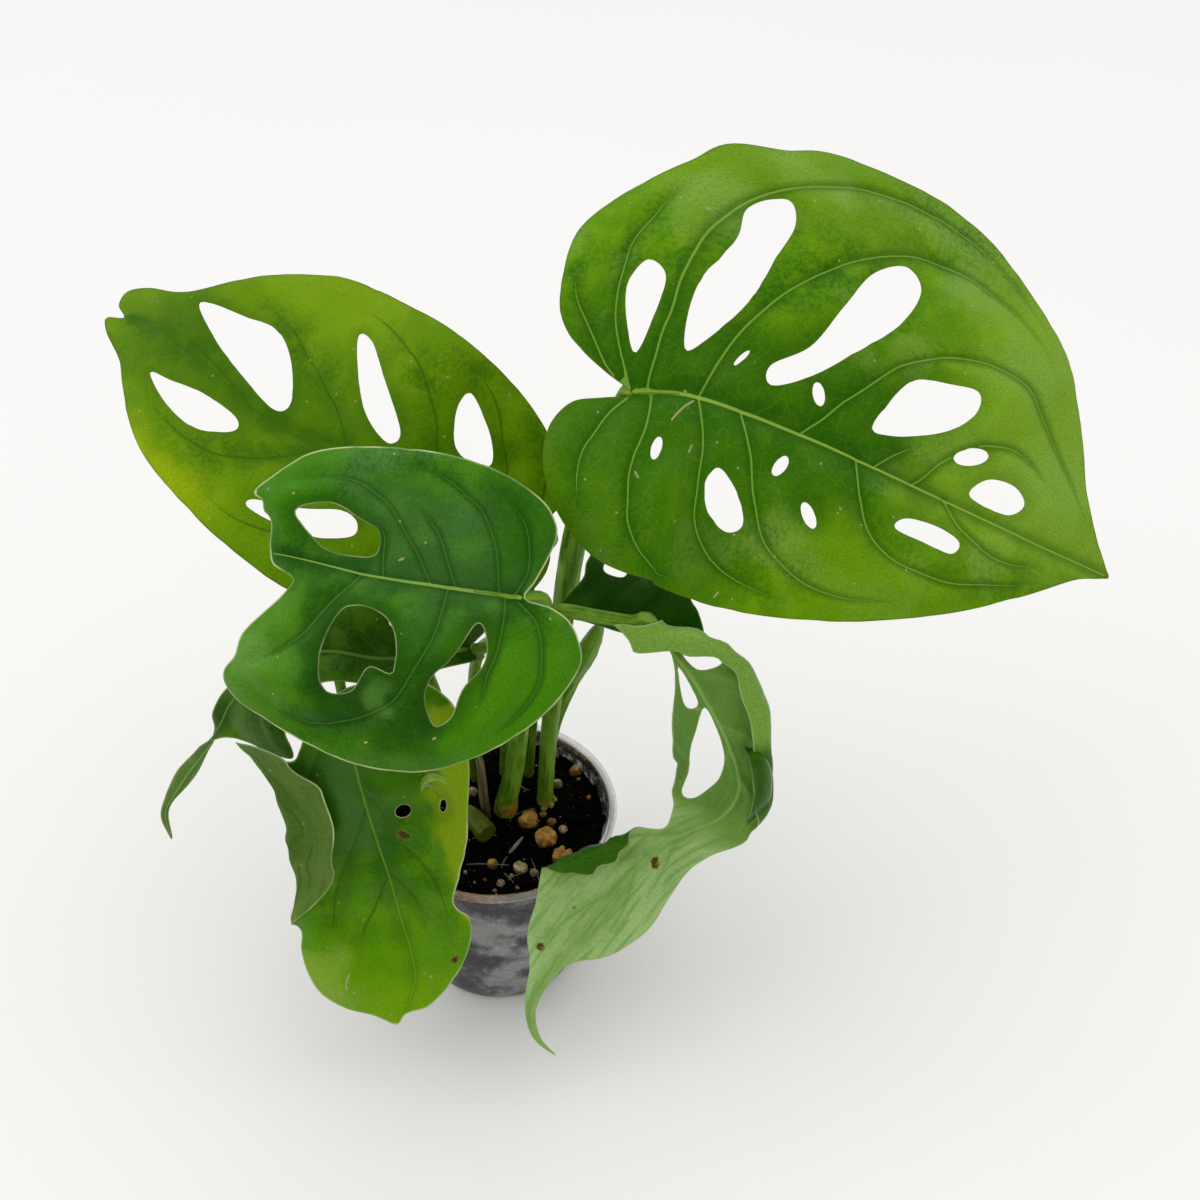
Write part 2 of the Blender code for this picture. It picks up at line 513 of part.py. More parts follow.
def flat_sheet(leaf, rib_length):
    """Triangles of the flat drawing, with the margin, the holes and the midrib as edges."""
    margin = even_line(leaf["margin"], MARGIN_STEP, closed=True)
    holes = [even_line(ring, MARGIN_STEP * 0.8, closed=True) for ring in leaf["holes"]]
    holes += [oval(*shape)[:: 1 if max(shape[2:4]) > SMALL_OVAL else 2] for shape in leaf["ovals"]]
    spine = np.array([(s, 0) for s in np.arange(MARGIN_STEP, rib_length - 1, MARGIN_STEP)])
    clear = np.linalg.norm(np.vstack([margin, *holes])[None] - spine[:, None], axis=2).min(axis=1)
    spine = spine[(clear > SPINE_CLEAR) & inside(spine, margin)]
    points, edges = [], []
    for ring in (margin, *holes):
        first = len(points)
        points += [tuple(p) for p in ring]
        edges += [(first + i, first + (i + 1) % len(ring)) for i in range(len(ring))]
    first = len(points)
    points += [tuple(p) for p in spine]
    edges += [(first + i, first + i + 1) for i in range(len(spine) - 1)]
    points += [tuple(p) for p in sheet_points(leaf, margin, [*holes, spine])]
    flat, _, faces, _, _, _ = delaunay_2d_cdt([Vector(p) for p in points], edges, [], 0, 1e-5)
    flat = np.array([tuple(p) for p in flat])
    middles = np.array([flat[list(face)].mean(axis=0) for face in faces])
    keep = inside(middles, margin)
    for hole in holes:
        keep &= ~inside(middles, hole)
    return flat, [face for face, kept in zip(faces, keep) if kept]


def add_blade(name, leaf, collection, finish):
    rib = Midrib(leaf["rib"], leaf["calm"])
    flat, faces = flat_sheet(leaf, rib.length)
    used = sorted({i for face in faces for i in face})
    renumber = {old: new for new, old in enumerate(used)}
    mesh = bpy.data.meshes.new(name)
    points = bent(leaf, flat[used]) * MM
    mesh.from_pydata([tuple(p) for p in points], [], [[renumber[i] for i in face] for face in faces])
    blade = place(name, mesh, collection, finish)
    thick = blade.modifiers.new("Blade", "SOLIDIFY")
    thick.thickness = BLADE_THICKNESS * MM
    thick.offset = 0
    return blade


def add_tube(name, line, collection, finish=None, wider=0.0):
    """A stem with round section along x, y, z and radius."""
    curve = bpy.data.curves.new(name, "CURVE")
    curve.dimensions = "3D"
    curve.bevel_depth = MM
    curve.bevel_resolution = 1
    curve.use_fill_caps = True
    spline = curve.splines.new("POLY")
    spline.points.add(len(line) - 1)
    for point, (x, y, z, radius) in zip(spline.points, line):
        point.co = (x * MM, y * MM, z * MM, 1)
        point.radius = radius + wider
    source = bpy.data.objects.new(name + "_curve", curve)
    collection.objects.link(source)
    mesh = evaluated_mesh(source)
    bpy.data.objects.remove(source)
    shape = bmesh.new()
    shape.from_mesh(mesh)
    bmesh.ops.remove_doubles(shape, verts=shape.verts, dist=MERGE)
    bmesh.ops.recalc_face_normals(shape, faces=shape.faces)
    shape.to_mesh(mesh)
    shape.free()
    mesh.name = name
    return place(name, mesh, collection, finish)


def petiole_line(name):
    """The petiole's points and the last stretch, which runs up under the foot of its blade."""
    leaf = LEAVES[name]
    rib = Midrib(leaf["rib"], leaf["calm"])
    behind, below, end_radius = JOINTS[name]
    where = np.array([-behind, 0.8])
    _, up = frame_at(leaf, rib, where)
    depth = np.array([below, BLADE_THICKNESS / 2 + PETIOLE_CLEAR + end_radius])
    ends = rib.point(where) - up * depth[:, None]
    radii = [(PETIOLES[name][-1][3] + end_radius) / 2, end_radius]
    return PETIOLES[name] + [(*end, radius) for end, radius in zip(ends, radii)]


def rounded_tip(line):
    """The stem's line with a last short step that narrows, so that its end is round."""
    way = unit(line[-1, :3] - line[-2, :3])
    tip = np.append(line[-1, :3] + way * line[-1, 3] * 0.35, line[-1, 3] * 0.6)
    return np.vstack([line, tip])


def longer_foot(line):
    """The line that cuts a stem's hole: it starts a gap below the stem."""
    way = unit(line[1, :3] - line[0, :3])
    foot = np.append(line[0, :3] - way * GAP, line[0, 3])
    return np.vstack([foot, line])


def add_stems(parts, cutters, finishes):
    stems = {f"petiole_{name}": petiole_line(name) for name in PETIOLES}
    stems.update(OTHER_STEMS)
    for name, points in stems.items():
        line = rounded_tip(even_line(points, STEM_STEP))
        finish = finishes["petiole"] if name.startswith("petiole") else finishes[name]
        add_tube(name, line, parts, finish)
        near_soil = line[line[:, 2] < SOIL_TOP + 8]
        add_tube("hole_" + name, longer_foot(near_soil), cutters, wider=GAP)


def turned(name, profile, steps, collection):
    """A solid turned round +Z from a profile that runs down its outer side."""
    mesh = bpy.data.meshes.new(name)
    edges = [(i, i + 1) for i in range(len(profile) - 1)]
    mesh.from_pydata([(r * MM, 0, z * MM) for r, z in profile], edges, [])
    made = place(name, mesh, collection)
    screw = made.modifiers.new("Turn", "SCREW")
    screw.steps = steps
    screw.render_steps = steps
    screw.use_merge_vertices = True
    screw.merge_threshold = 1e-5
    bake(made)
    return made


def wall_radius(z):
    """The wall's outer radius at a height."""
    top = CUP_RIM_RADIUS - CUP_LIP_WIDTH
    return CUP_FOOT_RADIUS + (top - CUP_FOOT_RADIUS) * z / CUP_HEIGHT


def add_cup(parts, cutters, finish):
    lip_foot = CUP_HEIGHT - CUP_LIP_HEIGHT
    rim_inside = wall_radius(CUP_HEIGHT) - CUP_WALL
    floor_inside = wall_radius(CUP_FLOOR + CUP_FOOT_BEVEL) - CUP_WALL
    profile = [
        (rim_inside, CUP_HEIGHT - CUP_LIP_BEVEL),
        (rim_inside + CUP_LIP_BEVEL, CUP_HEIGHT),
        (CUP_RIM_RADIUS - CUP_LIP_BEVEL, CUP_HEIGHT),
        (CUP_RIM_RADIUS, CUP_HEIGHT - CUP_LIP_BEVEL),
        (CUP_RIM_RADIUS, lip_foot + CUP_LIP_BEVEL),
        (CUP_RIM_RADIUS - CUP_LIP_BEVEL, lip_foot),
        (wall_radius(lip_foot), lip_foot),
        (wall_radius(CUP_FOOT_BEVEL), CUP_FOOT_BEVEL),
        (CUP_FOOT_RADIUS - CUP_FOOT_BEVEL, 0),
        (0, 0),
        (0, CUP_FLOOR),
        (floor_inside - CUP_FOOT_BEVEL, CUP_FLOOR),
        (floor_inside, CUP_FLOOR + CUP_FOOT_BEVEL),
    ]
    cup = turned("cup", profile + profile[:1], CUP_STEPS, parts)
    for number in range(DRAIN_COUNT):
        cut(cup, drain_cutter(number, cutters))
    bake(cup)
    cup.data.materials.append(finish)
    cup.data.shade_smooth()
    cup.data.set_sharp_from_angle(angle=math.radians(40))


def drain_cutter(number, cutters):
    angle = 2 * math.pi * (number + 0.5) / DRAIN_COUNT
    bpy.ops.mesh.primitive_cylinder_add(
        vertices=DRAIN_STEPS,
        radius=DRAIN_RADIUS * MM,
        depth=4 * CUP_FLOOR * MM,
        location=(DRAIN_CIRCLE * MM * math.cos(angle), DRAIN_CIRCLE * MM * math.sin(angle), 0),
    )
    drain = bpy.context.object
    drain.name = f"drain_{number + 1}"
    move_to(drain, cutters)
    return drain


def move_to(thing, collection):
    for old in thing.users_collection:
        old.objects.unlink(thing)
    collection.objects.link(thing)


def cut(body, cutter):
    made = body.modifiers.new("Cut", "BOOLEAN")
    made.operation = "DIFFERENCE"
    made.object = cutter
    cutter.hide_render = True
    cutter.display_type = "WIRE"


def soil_height(x, y):
    """The soil's surface: low lumps, a little lower beside the wall."""
    lumps = noise.noise(Vector((x / SOIL_LUMP, y / SOIL_LUMP, SOIL_LUMP)))
    lumps += 0.5 * noise.noise(Vector((x / SOIL_SMALL_LUMP, y / SOIL_SMALL_LUMP, SOIL_SMALL_LUMP)))
    dip = max(0, math.hypot(x, y) - SOIL_DIP_FROM) * SOIL_DIP_SLOPE
    return SOIL_TOP + SOIL_RELIEF * lumps - dip


def lump(name, x, y, z, radius, collection, detail):
    """An uneven round grain."""
    mesh = bpy.data.meshes.new(name)
    shape = bmesh.new()
    bmesh.ops.create_icosphere(shape, subdivisions=detail, radius=1)
    centre = Vector((x, y, z))
    for vert in shape.verts:
        swell = 1 + GRAIN_UNEVENNESS * noise.noise(vert.co * 1.3 + centre)
        vert.co = (centre + vert.co * radius * swell) * MM
    shape.to_mesh(mesh)
    shape.free()
    return place(name, mesh, collection)


def add_soil(parts, cutters, finish):
    inset = CUP_WALL + SOIL_CLEAR
    bottom = CUP_FLOOR + GAP
    shoulder = bottom + CUP_FOOT_BEVEL
    side = wall_radius(SOIL_TOP) - inset
    profile = [(side * i / SOIL_RINGS, SOIL_TOP) for i in range(SOIL_RINGS + 1)]
    profile += [
        (wall_radius(shoulder) - inset, shoulder),
        (wall_radius(shoulder) - inset - CUP_FOOT_BEVEL, bottom),
        (0, bottom),
    ]
    soil = turned("soil", profile, SOIL_STEPS, parts)
    for vert in soil.data.vertices:
        x, y, z = vert.co / MM
        if z > SOIL_TOP - GAP:
            vert.co.z = soil_height(x, y) * MM
    triangulate(soil.data)
    add_crumbs(soil)
    for cutter in cutters.objects:
        if cutter.name.startswith(("hole_", "seat_")):
            cut(soil, cutter)
    bake(soil)
    soil.data.materials.append(finish)


def add_crumbs(soil):
    """Coarse crumbs sunk in the surface, clear of the stems and of the granules."""
    draw = random.Random(SEED)
    taken = list(CLAY_GRANULES + PALE_GRANULES)
    for points in [*PETIOLES.values(), *OTHER_STEMS.values()]:
        taken += [(x, y, radius) for x, y, z, radius in points if z < SOIL_TOP + STEM_STEP]
    crumbs = bpy.data.collections.new("crumbs")
    while len(crumbs.objects) < CRUMB_COUNT:
        angle, reach = draw.uniform(0, 2 * math.pi), CRUMB_REACH * math.sqrt(draw.random())
        x, y, radius = reach * math.cos(angle), reach * math.sin(angle), draw.uniform(*CRUMB_RADII)
        if any(math.hypot(x - a, y - b) < radius + other + CRUMB_CLEAR for a, b, other in taken):
            continue
        taken.append((x, y, radius - CRUMB_CLEAR))
        lump("crumb", x, y, soil_height(x, y) + CRUMB_RISE * radius, radius, crumbs, detail=1)
    join = soil.modifiers.new("Crumbs", "BOOLEAN")
    join.operation = "UNION"
    join.operand_type = "COLLECTION"
    join.collection = crumbs
    bake(soil)
    for crumb in list(crumbs.objects):
        bpy.data.objects.remove(crumb)
    bpy.data.collections.remove(crumbs)


def add_granules(parts, cutters, finishes):
    """Each granule lies in a seat of its own shape, cut in the soil a gap wider all round."""
    for kind, places in (("clay_granule", CLAY_GRANULES), ("pale_granule", PALE_GRANULES)):
        for number, (x, y, radius) in enumerate(places, 1):
            z = soil_height(x, y) + GRAIN_RISE * radius
            grain = lump(f"{kind}_{number}", x, y, z, radius, parts, detail=2)
            grain.data.materials.append(finishes[kind])
            grain.data.shade_smooth()
            seat = lump(f"seat_{kind}_{number}", x, y, z, radius, cutters, detail=2)
            middle = Matrix.Translation(Vector((x, y, z)) * MM)
            wider = Matrix.Scale(1 + SOIL_CLEAR / radius, 4)
            seat.data.transform(middle @ wider @ middle.inverted())


def finishes_of_parts():
    return {
        "cup": material("clear_plastic", (0.82, 0.84, 0.85), 0.2, alpha=0.35),
        "soil": material("dark_soil", (0.012, 0.010, 0.008), 0.95),
        "blade_right": material("leaf_bright_green", (0.12, 0.28, 0.01), 0.42),
        "blade_back_left": material("leaf_yellow_green", (0.24, 0.34, 0.01), 0.42),
        "blade_front_left": material("leaf_deep_green", (0.05, 0.2, 0.02), 0.36),
        "blade_hanging": material("leaf_mid_green", (0.12, 0.3, 0.01), 0.4),
        "blade_under": material("leaf_olive", (0.07, 0.14, 0.01), 0.42),
        "blade_behind": material("leaf_dark_green", (0.03, 0.12, 0.01), 0.42),
        "blade_twisted": material("leaf_pale_underside", (0.26, 0.46, 0.14), 0.5),
        "petiole": material("petiole_green", (0.16, 0.3, 0.04), 0.45),
        "rolled_young_leaf": material("young_leaf_green", (0.3, 0.5, 0.12), 0.45),
        "withered_petiole": material("withered_brown", (0.16, 0.13, 0.07), 0.8),
        "cut_petiole": material("cut_petiole_green", (0.14, 0.22, 0.02), 0.55),
        "clay_granule": material("baked_clay", (0.42, 0.23, 0.08), 0.85),
        "pale_granule": material("pumice", (0.5, 0.42, 0.3), 0.9),
    }


def main():
    clear_scene()
    parts = new_collection(OBJECT_NAME)
    cutters = new_collection("cutters")
    finishes = finishes_of_parts()
    for name, leaf in LEAVES.items():
        add_blade(f"blade_{name}", leaf, parts, finishes[f"blade_{name}"])
    add_stems(parts, cutters, finishes)
    add_granules(parts, cutters, finishes)
    add_cup(parts, cutters, finishes["cup"])
    add_soil(parts, cutters, finishes["soil"])
    for cutter in cutters.objects:
        cutter.hide_render = True
        cutter.display_type = "WIRE"


main()
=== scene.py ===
"""The young Swiss cheese plant in its clear cup, dressed in fine leaves, stems, soil and plastic.

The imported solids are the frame. Lengths are in millimetres, as in the part's own source, apart from those
of the floor, the lights and the camera, which are in metres. Each blade is drawn flat as (s, w), along the
midrib and across it, and bent() lays it in space. The veins are drawn there too.
"""

import json
import math
import random

import bmesh
import bpy
import numpy as np
from mathutils import Matrix, Vector, noise
from mathutils.geometry import delaunay_2d_cdt
from mathutils.kdtree import KDTree

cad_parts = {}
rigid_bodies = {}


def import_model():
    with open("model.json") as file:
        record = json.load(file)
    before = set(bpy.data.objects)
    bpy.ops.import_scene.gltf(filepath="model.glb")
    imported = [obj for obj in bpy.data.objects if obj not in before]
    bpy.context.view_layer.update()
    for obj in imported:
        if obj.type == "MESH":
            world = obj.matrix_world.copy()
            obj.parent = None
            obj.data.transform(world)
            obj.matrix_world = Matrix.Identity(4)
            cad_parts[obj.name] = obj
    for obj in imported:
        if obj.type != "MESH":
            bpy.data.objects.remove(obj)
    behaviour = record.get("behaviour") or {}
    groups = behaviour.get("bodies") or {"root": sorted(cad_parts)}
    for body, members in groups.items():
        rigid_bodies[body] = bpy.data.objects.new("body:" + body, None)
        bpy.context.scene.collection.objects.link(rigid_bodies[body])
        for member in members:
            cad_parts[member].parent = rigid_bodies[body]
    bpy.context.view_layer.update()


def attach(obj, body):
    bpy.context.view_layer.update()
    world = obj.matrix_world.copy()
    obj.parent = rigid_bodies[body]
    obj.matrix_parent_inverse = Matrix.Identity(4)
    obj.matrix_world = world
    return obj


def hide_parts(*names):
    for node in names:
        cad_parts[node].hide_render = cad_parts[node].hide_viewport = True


MM = 0.001
SEED = 11

# The cup, as the solids have it
CUP_HEIGHT = 46.0
CUP_RIM_RADIUS = 26.4
CUP_FOOT_RADIUS = 18.6
CUP_WALL = 0.7
CUP_LIP_WIDTH = 1.3
CUP_LIP_HEIGHT = 1.4
CUP_FLOOR = 0.9
CUP_FOOT_RISE = 0.25
CUP_STEPS = 144
DRAIN_RADIUS = 1.7
DRAIN_CIRCLE = 10.0
DRAIN_TURNS = (45, 135, 225, 315)
SOIL_TOP = 42.6
SOIL_RELIEF = 0.45
STEM_FOOT = 31.0

# How finely blades, stems and grains are made
BLADE_THICKNESS = 0.36
EDGE_THICKNESS = 0.16
MARGIN_STEP = 0.8
HOLE_STEP = 0.7
VEIN_STEP = 1.1
SHEET_STEP = 1.0
FOLD_ROWS = 9
SHEATH_STEPS = 48

# How far the midrib's line stops short of its ends and lines keep off rims, and how near is the same point
RIB_CLEAR = 0.8
LINE_CLEAR = 0.3
MERGE_DISTANCE = 1e-5

# A sheath's section as (out, up), and the radius of the drilled disc in the cup's floor
SHEATH_SECTION = [(0, 0), (0.16, 0.3), (0.2, 0.62), (0.26, 0.86), (0.2, 1), (0.02, 1), (-0.2, 0.8), (-0.2, 0)]
FLOOR_DISC = 12.4

# How far a blade's quilts, grooves and valleys reach from their lines, and how far it stays level at its edge
QUILT_REACH = 3.4
GROOVE_REACH = 0.7
VALLEY_REACH = 1.9
LEVEL_MARGIN = 2.5

# A distance that stands for none near
FAR = 9.0

# Each side's stations are (s, fold angle, straight width, bend radius, bend angle).
FLAT_HALF = [(0, 6, 3, 90, -16), (100, 6, 3, 90, -16)]
LEVEL = [(0, 0), (100, 0)]

LEAVES = {
    "right": {
        "rib": [(25, 10, 147), (37, 9, 147), (57, 5.5, 141.5), (80, 3, 132), (103, 2.5, 121),
                (118.5, 3.5, 113)],
        "face": (-0.1, -0.66, 0.75),
        "roll": LEVEL,
        "right": FLAT_HALF,
        "left": [(0, 10, 3, 90, -22), (95, 8, 3, 90, -22)],
        "calm": 6,
        "margin": [
            (0.5, 0.5), (-5, -3.5), (-10.5, -8), (-13.5, -13), (-14, -19), (-12, -29), (-5.5, -36.5),
            (0.5, -40.5), (6.5, -45), (10, -49.5), (15, -50.5), (20.5, -53), (33, -54), (44, -54),
            (56, -50.5), (66, -44), (76, -35.5), (82.5, -26), (89.5, -13), (95.5, -5.5), (99.8, -1.4),
            (101.2, 0), (99.4, 0.9),
            (93, 3.5), (82.5, 11), (72, 18), (60, 24.5), (48, 30), (33, 34), (18.5, 35), (1, 33), (-8, 27),
            (-13.5, 18), (-14.2, 9), (-10.5, 3), (-4.5, 1.5),
        ],
        "holes": [
            [(2, -24.5), (-1.5, -20), (-1.5, -14), (0.5, -7), (3, -12), (5, -21)],
            [(17, -40.5), (13, -37), (12.5, -30), (9.5, -21), (8.5, -13), (9.2, -7.7), (13, -12.5),
             (16.3, -20), (17.8, -28.5), (19, -36)],
            [(39.5, -37.5), (34, -33), (31, -24.5), (28, -15.5), (22.6, -9.5), (24, -6.3), (30, -10.5),
             (36.5, -18.5), (41.5, -26), (43.3, -34)],
            [(54.5, -20), (47.5, -17.5), (44.5, -11), (44, -6), (50, -7.5), (57.5, -12), (61.3, -17),
             (60.5, -21)],
            [(25.5, 21.5), (21, 19.5), (18.5, 15), (19.5, 11.5), (22, 12), (26, 15.5), (28, 19.5)],
            [(54.5, 8.8), (56, 6.2), (62, 5), (67.5, 6), (66.5, 8.8), (60.5, 9)],
            [(66, -3.2), (68.5, -7), (74, -8), (77.5, -5.8), (75.5, -2.8), (70, -2.2)],
        ],
        "ovals": [
            (5.8, 10.6, 1.1, 2.2, 12), (30.6, 6.8, 1.1, 2.3, 18), (38.7, 13.2, 1.2, 2.6, -46),
            (32.4, -8, 1.1, 2.2, -32), (63.6, -9.4, 3.6, 1.6, -28), (17.6, -9, 2, 0.45, -64),
        ],
        "waves": [(20, -46, 12, 1.6), (46, -48, 11, -1.4), (70, -34, 11, 1.3), (28, 30, 11, -1.2),
                  (58, 20, 10, 1.2)],
    },
    "back_left": {
        "rib": [(8.1, 13.5, 112.6), (-18, 15.5, 122.6), (-39.5, 24, 125), (-55.9, 33.6, 128.4),
                (-73.6, 48.3, 131.7), (-80.9, 55.2, 132.1)],
        "face": (0.1, -0.6, 0.8),
        "roll": LEVEL,
        "right": [(0, 8, 3, 90, -18), (100, 6, 3, 90, -18)],
        "left": [(0, 8, 3, 90, -20), (100, 6, 3, 90, -20)],
        "calm": 3,
        "margin": [
            (0, 0.4), (-2.5, 5), (-1, 12), (5, 19.5), (12.5, 25), (20, 28.5), (30, 31.5), (40, 34),
            (55, 36.5), (67.5, 36), (77.5, 32), (86, 25), (93, 15), (98, 11), (105, 8.5), (109.4, 5),
            (108.5, 1.5), (104.5, 0), (108, -2.4), (104, -5), (95, -8), (86.5, -13.5), (75, -19.4),
            (61, -23.5), (48, -27), (38, -29), (28, -26), (18, -23), (8, -21), (0, -17), (-4, -10),
            (-4, -4),
        ],
        "holes": [
            [(91, 12), (82, 8), (70, 5), (59, 2.6), (57, 6), (63, 13), (71.5, 17), (81, 15)],
            [(87, -6), (78, -9), (69.5, -9.4), (63, -5.5), (65, -2.8), (74, -2.5), (82, -4.5)],
            [(52.5, 25), (47, 17.5), (40.5, 9.5), (33.5, 5), (31.8, 8), (39, 16.5), (47, 23.8)],
            [(21.5, 20.5), (23, 16), (20, 8.4), (13, 8), (15, 14)],
            [(52, -17.5), (51.3, -15.5), (43, -13.5), (36, -11), (32.5, -12), (32, -15), (37.5, -17.7),
             (46, -18.2)],
        ],
        "ovals": [(20, -15, 5, 2, -25)],
        "waves": [(30, 30, 11, 1.3), (60, 32, 11, -1.3), (85, 14, 9, 1), (50, -22, 11, 1.2),
                  (20, -26, 11, -1.2)],
    },
    "front_left": {
        "rib": [(8, -22, 124.5), (-4, -23, 127), (-18.5, -21, 127.5), (-31.5, -17, 127.5), (-37.5, -15, 127)],
        "face": (0, -0.72, 0.69),
        "roll": LEVEL,
        "right": [(0, 12, 2, 60, -30), (50, 10, 2, 60, -30)],
        "left": [(0, 10, 2, 50, -30), (50, 10, 2, 50, -30)],
        "calm": 3,
        "margin": [
            (0, 0), (-1.5, 3.5), (-3.8, 10.5), (-3, 14.5), (0.5, 18), (8.5, 21.5), (20, 23), (33, 22),
            (42, 19), (49, 13), (51.6, 10), (49.4, 8.8), (48.7, 7.1), (47, 5.6), (46.8, 0.5), (45.6, -2),
            (41.4, -3.6), (41.6, -5.4), (45, -10.5), (47.7, -15), (48.2, -19), (50, -22), (49.5, -24.5),
            (46, -27.6), (38, -30), (28, -32.8), (19.5, -33.5), (11, -32), (2, -27.2), (-5, -20.8),
            (-10, -13.5), (-11, -8), (-8.3, -3.2), (-4.5, -1),
        ],
        "holes": [
            [(42.7, 8), (40, 10), (36, 10.7), (30, 8.9), (27, 7.8), (26.7, 4), (31, 2.7), (36.5, 2.8),
             (40.5, 5.3)],
            [(30.2, -6.7), (25, -5.8), (21.2, -9), (20.4, -15.8), (24.4, -15.5), (26.6, -20.2), (30.6, -21),
             (32.2, -15)],
            [(8, -5.7), (6.3, -7), (5.8, -12), (8.8, -17.2), (9.9, -22), (12.4, -24), (14.6, -19.5),
             (13.8, -15.5), (10.8, -11.5)],
        ],
        "ovals": [],
        "waves": [(46, -20, 8, 1.8), (30, -27, 9, -1), (42, -8, 5, -1.2), (46, 8, 5, 1), (10, 14, 8, -0.8)],
    },
    "hanging": {
        "rib": [(-27, -19, 97.5), (-25.5, -21.5, 80.5), (-22.3, -25.4, 63.5), (-19.7, -28.8, 53.4),
                (-17.3, -32.6, 42.8), (-16.6, -37.2, 34.3), (-17.8, -43.1, 25.8)],
        "face": (0, -0.85, 0.5),
        "roll": LEVEL,
        "right": [(0, 8, 20, 1.6, 0), (3, 8, 19.5, 1.6, 90), (6, 8, 19, 1.6, 168), (12, 8, 17, 1.6, 172),
                  (20, 6, 15, 1.6, 176), (28, 5, 14.2, 1.6, 176), (38, 4, 16.3, 1.6, 176),
                  (49, 2, 19, 1.6, 160),
                  (53, 0, 20, 1.6, 0), (80, 0, 20, 1.6, 0)],
        "left": [(0, -4, 10, 7, 0), (12, -10, 11, 7, 30), (45, -10, 10, 7, 35), (60, -4, 8, 7, 0),
                 (80, -2, 8, 7, 0)],
        "calm": 10,
        "margin": [
            (0, 0), (3, 4), (8, 7.6), (12, 9.4), (14.4, 11.4), (12.2, 16), (8.2, 20.3), (6.6, 23),
            (8.4, 26.6), (14.5, 27.8), (20, 28.6), (28, 27.2), (33, 28), (38, 29), (43, 28), (46.5, 25.5),
            (50, 22), (54, 20), (60, 20.8), (67, 19.8), (72.5, 16.7), (75.7, 11), (76.4, 5), (77.8, 0),
            (75.2, -1.5), (73, -6), (68, -9.8), (61.5, -13.6), (56.5, -14.4), (54.6, -12.6), (52.4, -11.9),
            (47, -15), (40, -18.5), (30, -21), (20, -23), (12, -23), (6, -21.5), (1, -17.5), (-1.5, -12),
            (-1.5, -5),
        ],
        "holes": [],
        "ovals": [(30.5, -7, 1.6, 1.6, 0), (31, -15.2, 1.8, 0.7, 20), (26.5, 9.6, 4.2, 1.7, 10)],
        "waves": [(66, 12, 8, 1.5), (64, -9, 6, 1.2), (46, 8, 8, -1), (26, -4, 6, 0.8)],
    },
    "under": {
        "rib": [(-2, -19.6, 110), (-11.2, -19.8, 108.2), (-19.3, -19, 106.2), (-30.1, -15.9, 104.7),
                (-40.5, -14.6, 98.8), (-48.7, -15.1, 90.5), (-52.6, -16.1, 83.1), (-57.2, -16.8, 76.1),
                (-61.9, -17.8, 68.8), (-65.6, -19.5, 62.2), (-64.8, -21.2, 55.6)],
        "face": (0, -0.72, 0.69),
        "roll": [(0, 0), (58, 0), (67, -110), (76, -135), (120, -140)],
        "right": [(0, 5, 3, 30, -20), (120, 5, 3, 30, -20)],
        "left": [(0, 5, 3, 30, -20), (120, 5, 3, 30, -20)],
        "calm": 10,
        "margin": [
            (0, 0.2), (-4, 4), (-3, 9), (4, 12), (15, 12.6), (25, 10), (33, 6.4), (40, 4), (47, 2.4),
            (54, 2.5), (61.5, 2.4), (66, 1.7), (75, 2.1), (80, 1.7), (84, 1), (89, 0.7), (93.3, 0),
            (89, -0.7), (84, -1), (80, -1.7), (75, -2.1), (66, -1.7), (62, -2), (60, -3.6), (58, -7.5),
            (56.8, -12), (54.6, -16), (51, -14.6), (47.5, -12), (43, -8.8), (36, -7), (26, -5.5),
            (15, -4.5), (6, -3), (0, -2.4), (-2.5, -1.8),
        ],
        "holes": [],
        "ovals": [(12, 6.4, 4, 1.7, 10), (30, 3.4, 1.2, 1.2, 0)],
        "waves": [(50, -9, 6, 1.2), (10, 9, 8, -1)],
    },
    "behind": {
        "rib": [(13, -10.8, 113), (21, -11.4, 112.5), (30.4, -11.1, 109.7), (40.7, -10.6, 107.2)],
        "face": (0, -0.35, 0.93),
        "roll": LEVEL,
        "right": [(0, -50, 1, 3, 0), (40, -50, 1, 3, 0)],
        "left": [(0, 5, 3, 30, -20), (40, 5, 3, 30, -20)],
        "calm": 3,
        "margin": [
            (0, 0.4), (1.2, -2), (4, -6.5), (4.2, -10), (4.8, -13), (3.6, -17), (5, -22), (10, -25.4),
            (16, -24.5), (21, -19), (24.4, -12), (25.4, -6.8), (27, -4.4), (28.4, 0), (26, 2.4), (18, 2.8),
            (8, 2.6), (2, 1.6),
        ],
        "holes": [[(7.8, -8.8), (8.4, -12.5), (10.5, -16), (12.5, -13), (11.8, -8.6)]],
        "ovals": [(17.5, -15, 2, 4, 20)],
        "waves": [(14, -20, 7, -1), (22, -10, 6, 0.8)],
    },
    "twisted": {
        "rib": [(31.2, -15.1, 112.8), (35.2, -17.4, 108.4), (39.7, -19.1, 101.9), (46, -20.4, 89.5),
                (49.5, -21.4, 78.3), (46.6, -22.4, 70.2), (39.1, -23.5, 65.9), (32.3, -26.1, 62),
                (20.1, -34.4, 48.3), (13.3, -38.5, 38.2), (10, -41.2, 30.4), (11.1, -43.9, 24.1),
                (15.2, -45.5, 19.9)],
        "face": (0, -0.8, 0.6),
        "roll": LEVEL,
        "right": [(0, -10, 12, 30, 0), (50, -10, 12, 30, 0), (60, 0, 7, 1.6, 0), (63, 0, 4.5, 1.6, 20),
                  (66, 0, 4.6, 1.6, 130), (70, 0, 6.4, 1.6, 168), (75, 0, 9.2, 1.6, 168),
                  (79, 0, 11, 1.6, 160),
                  (82.5, 0, 13.5, 1.6, 40), (85, 0, 14, 1.6, 0), (140, 0, 14, 1.6, 0)],
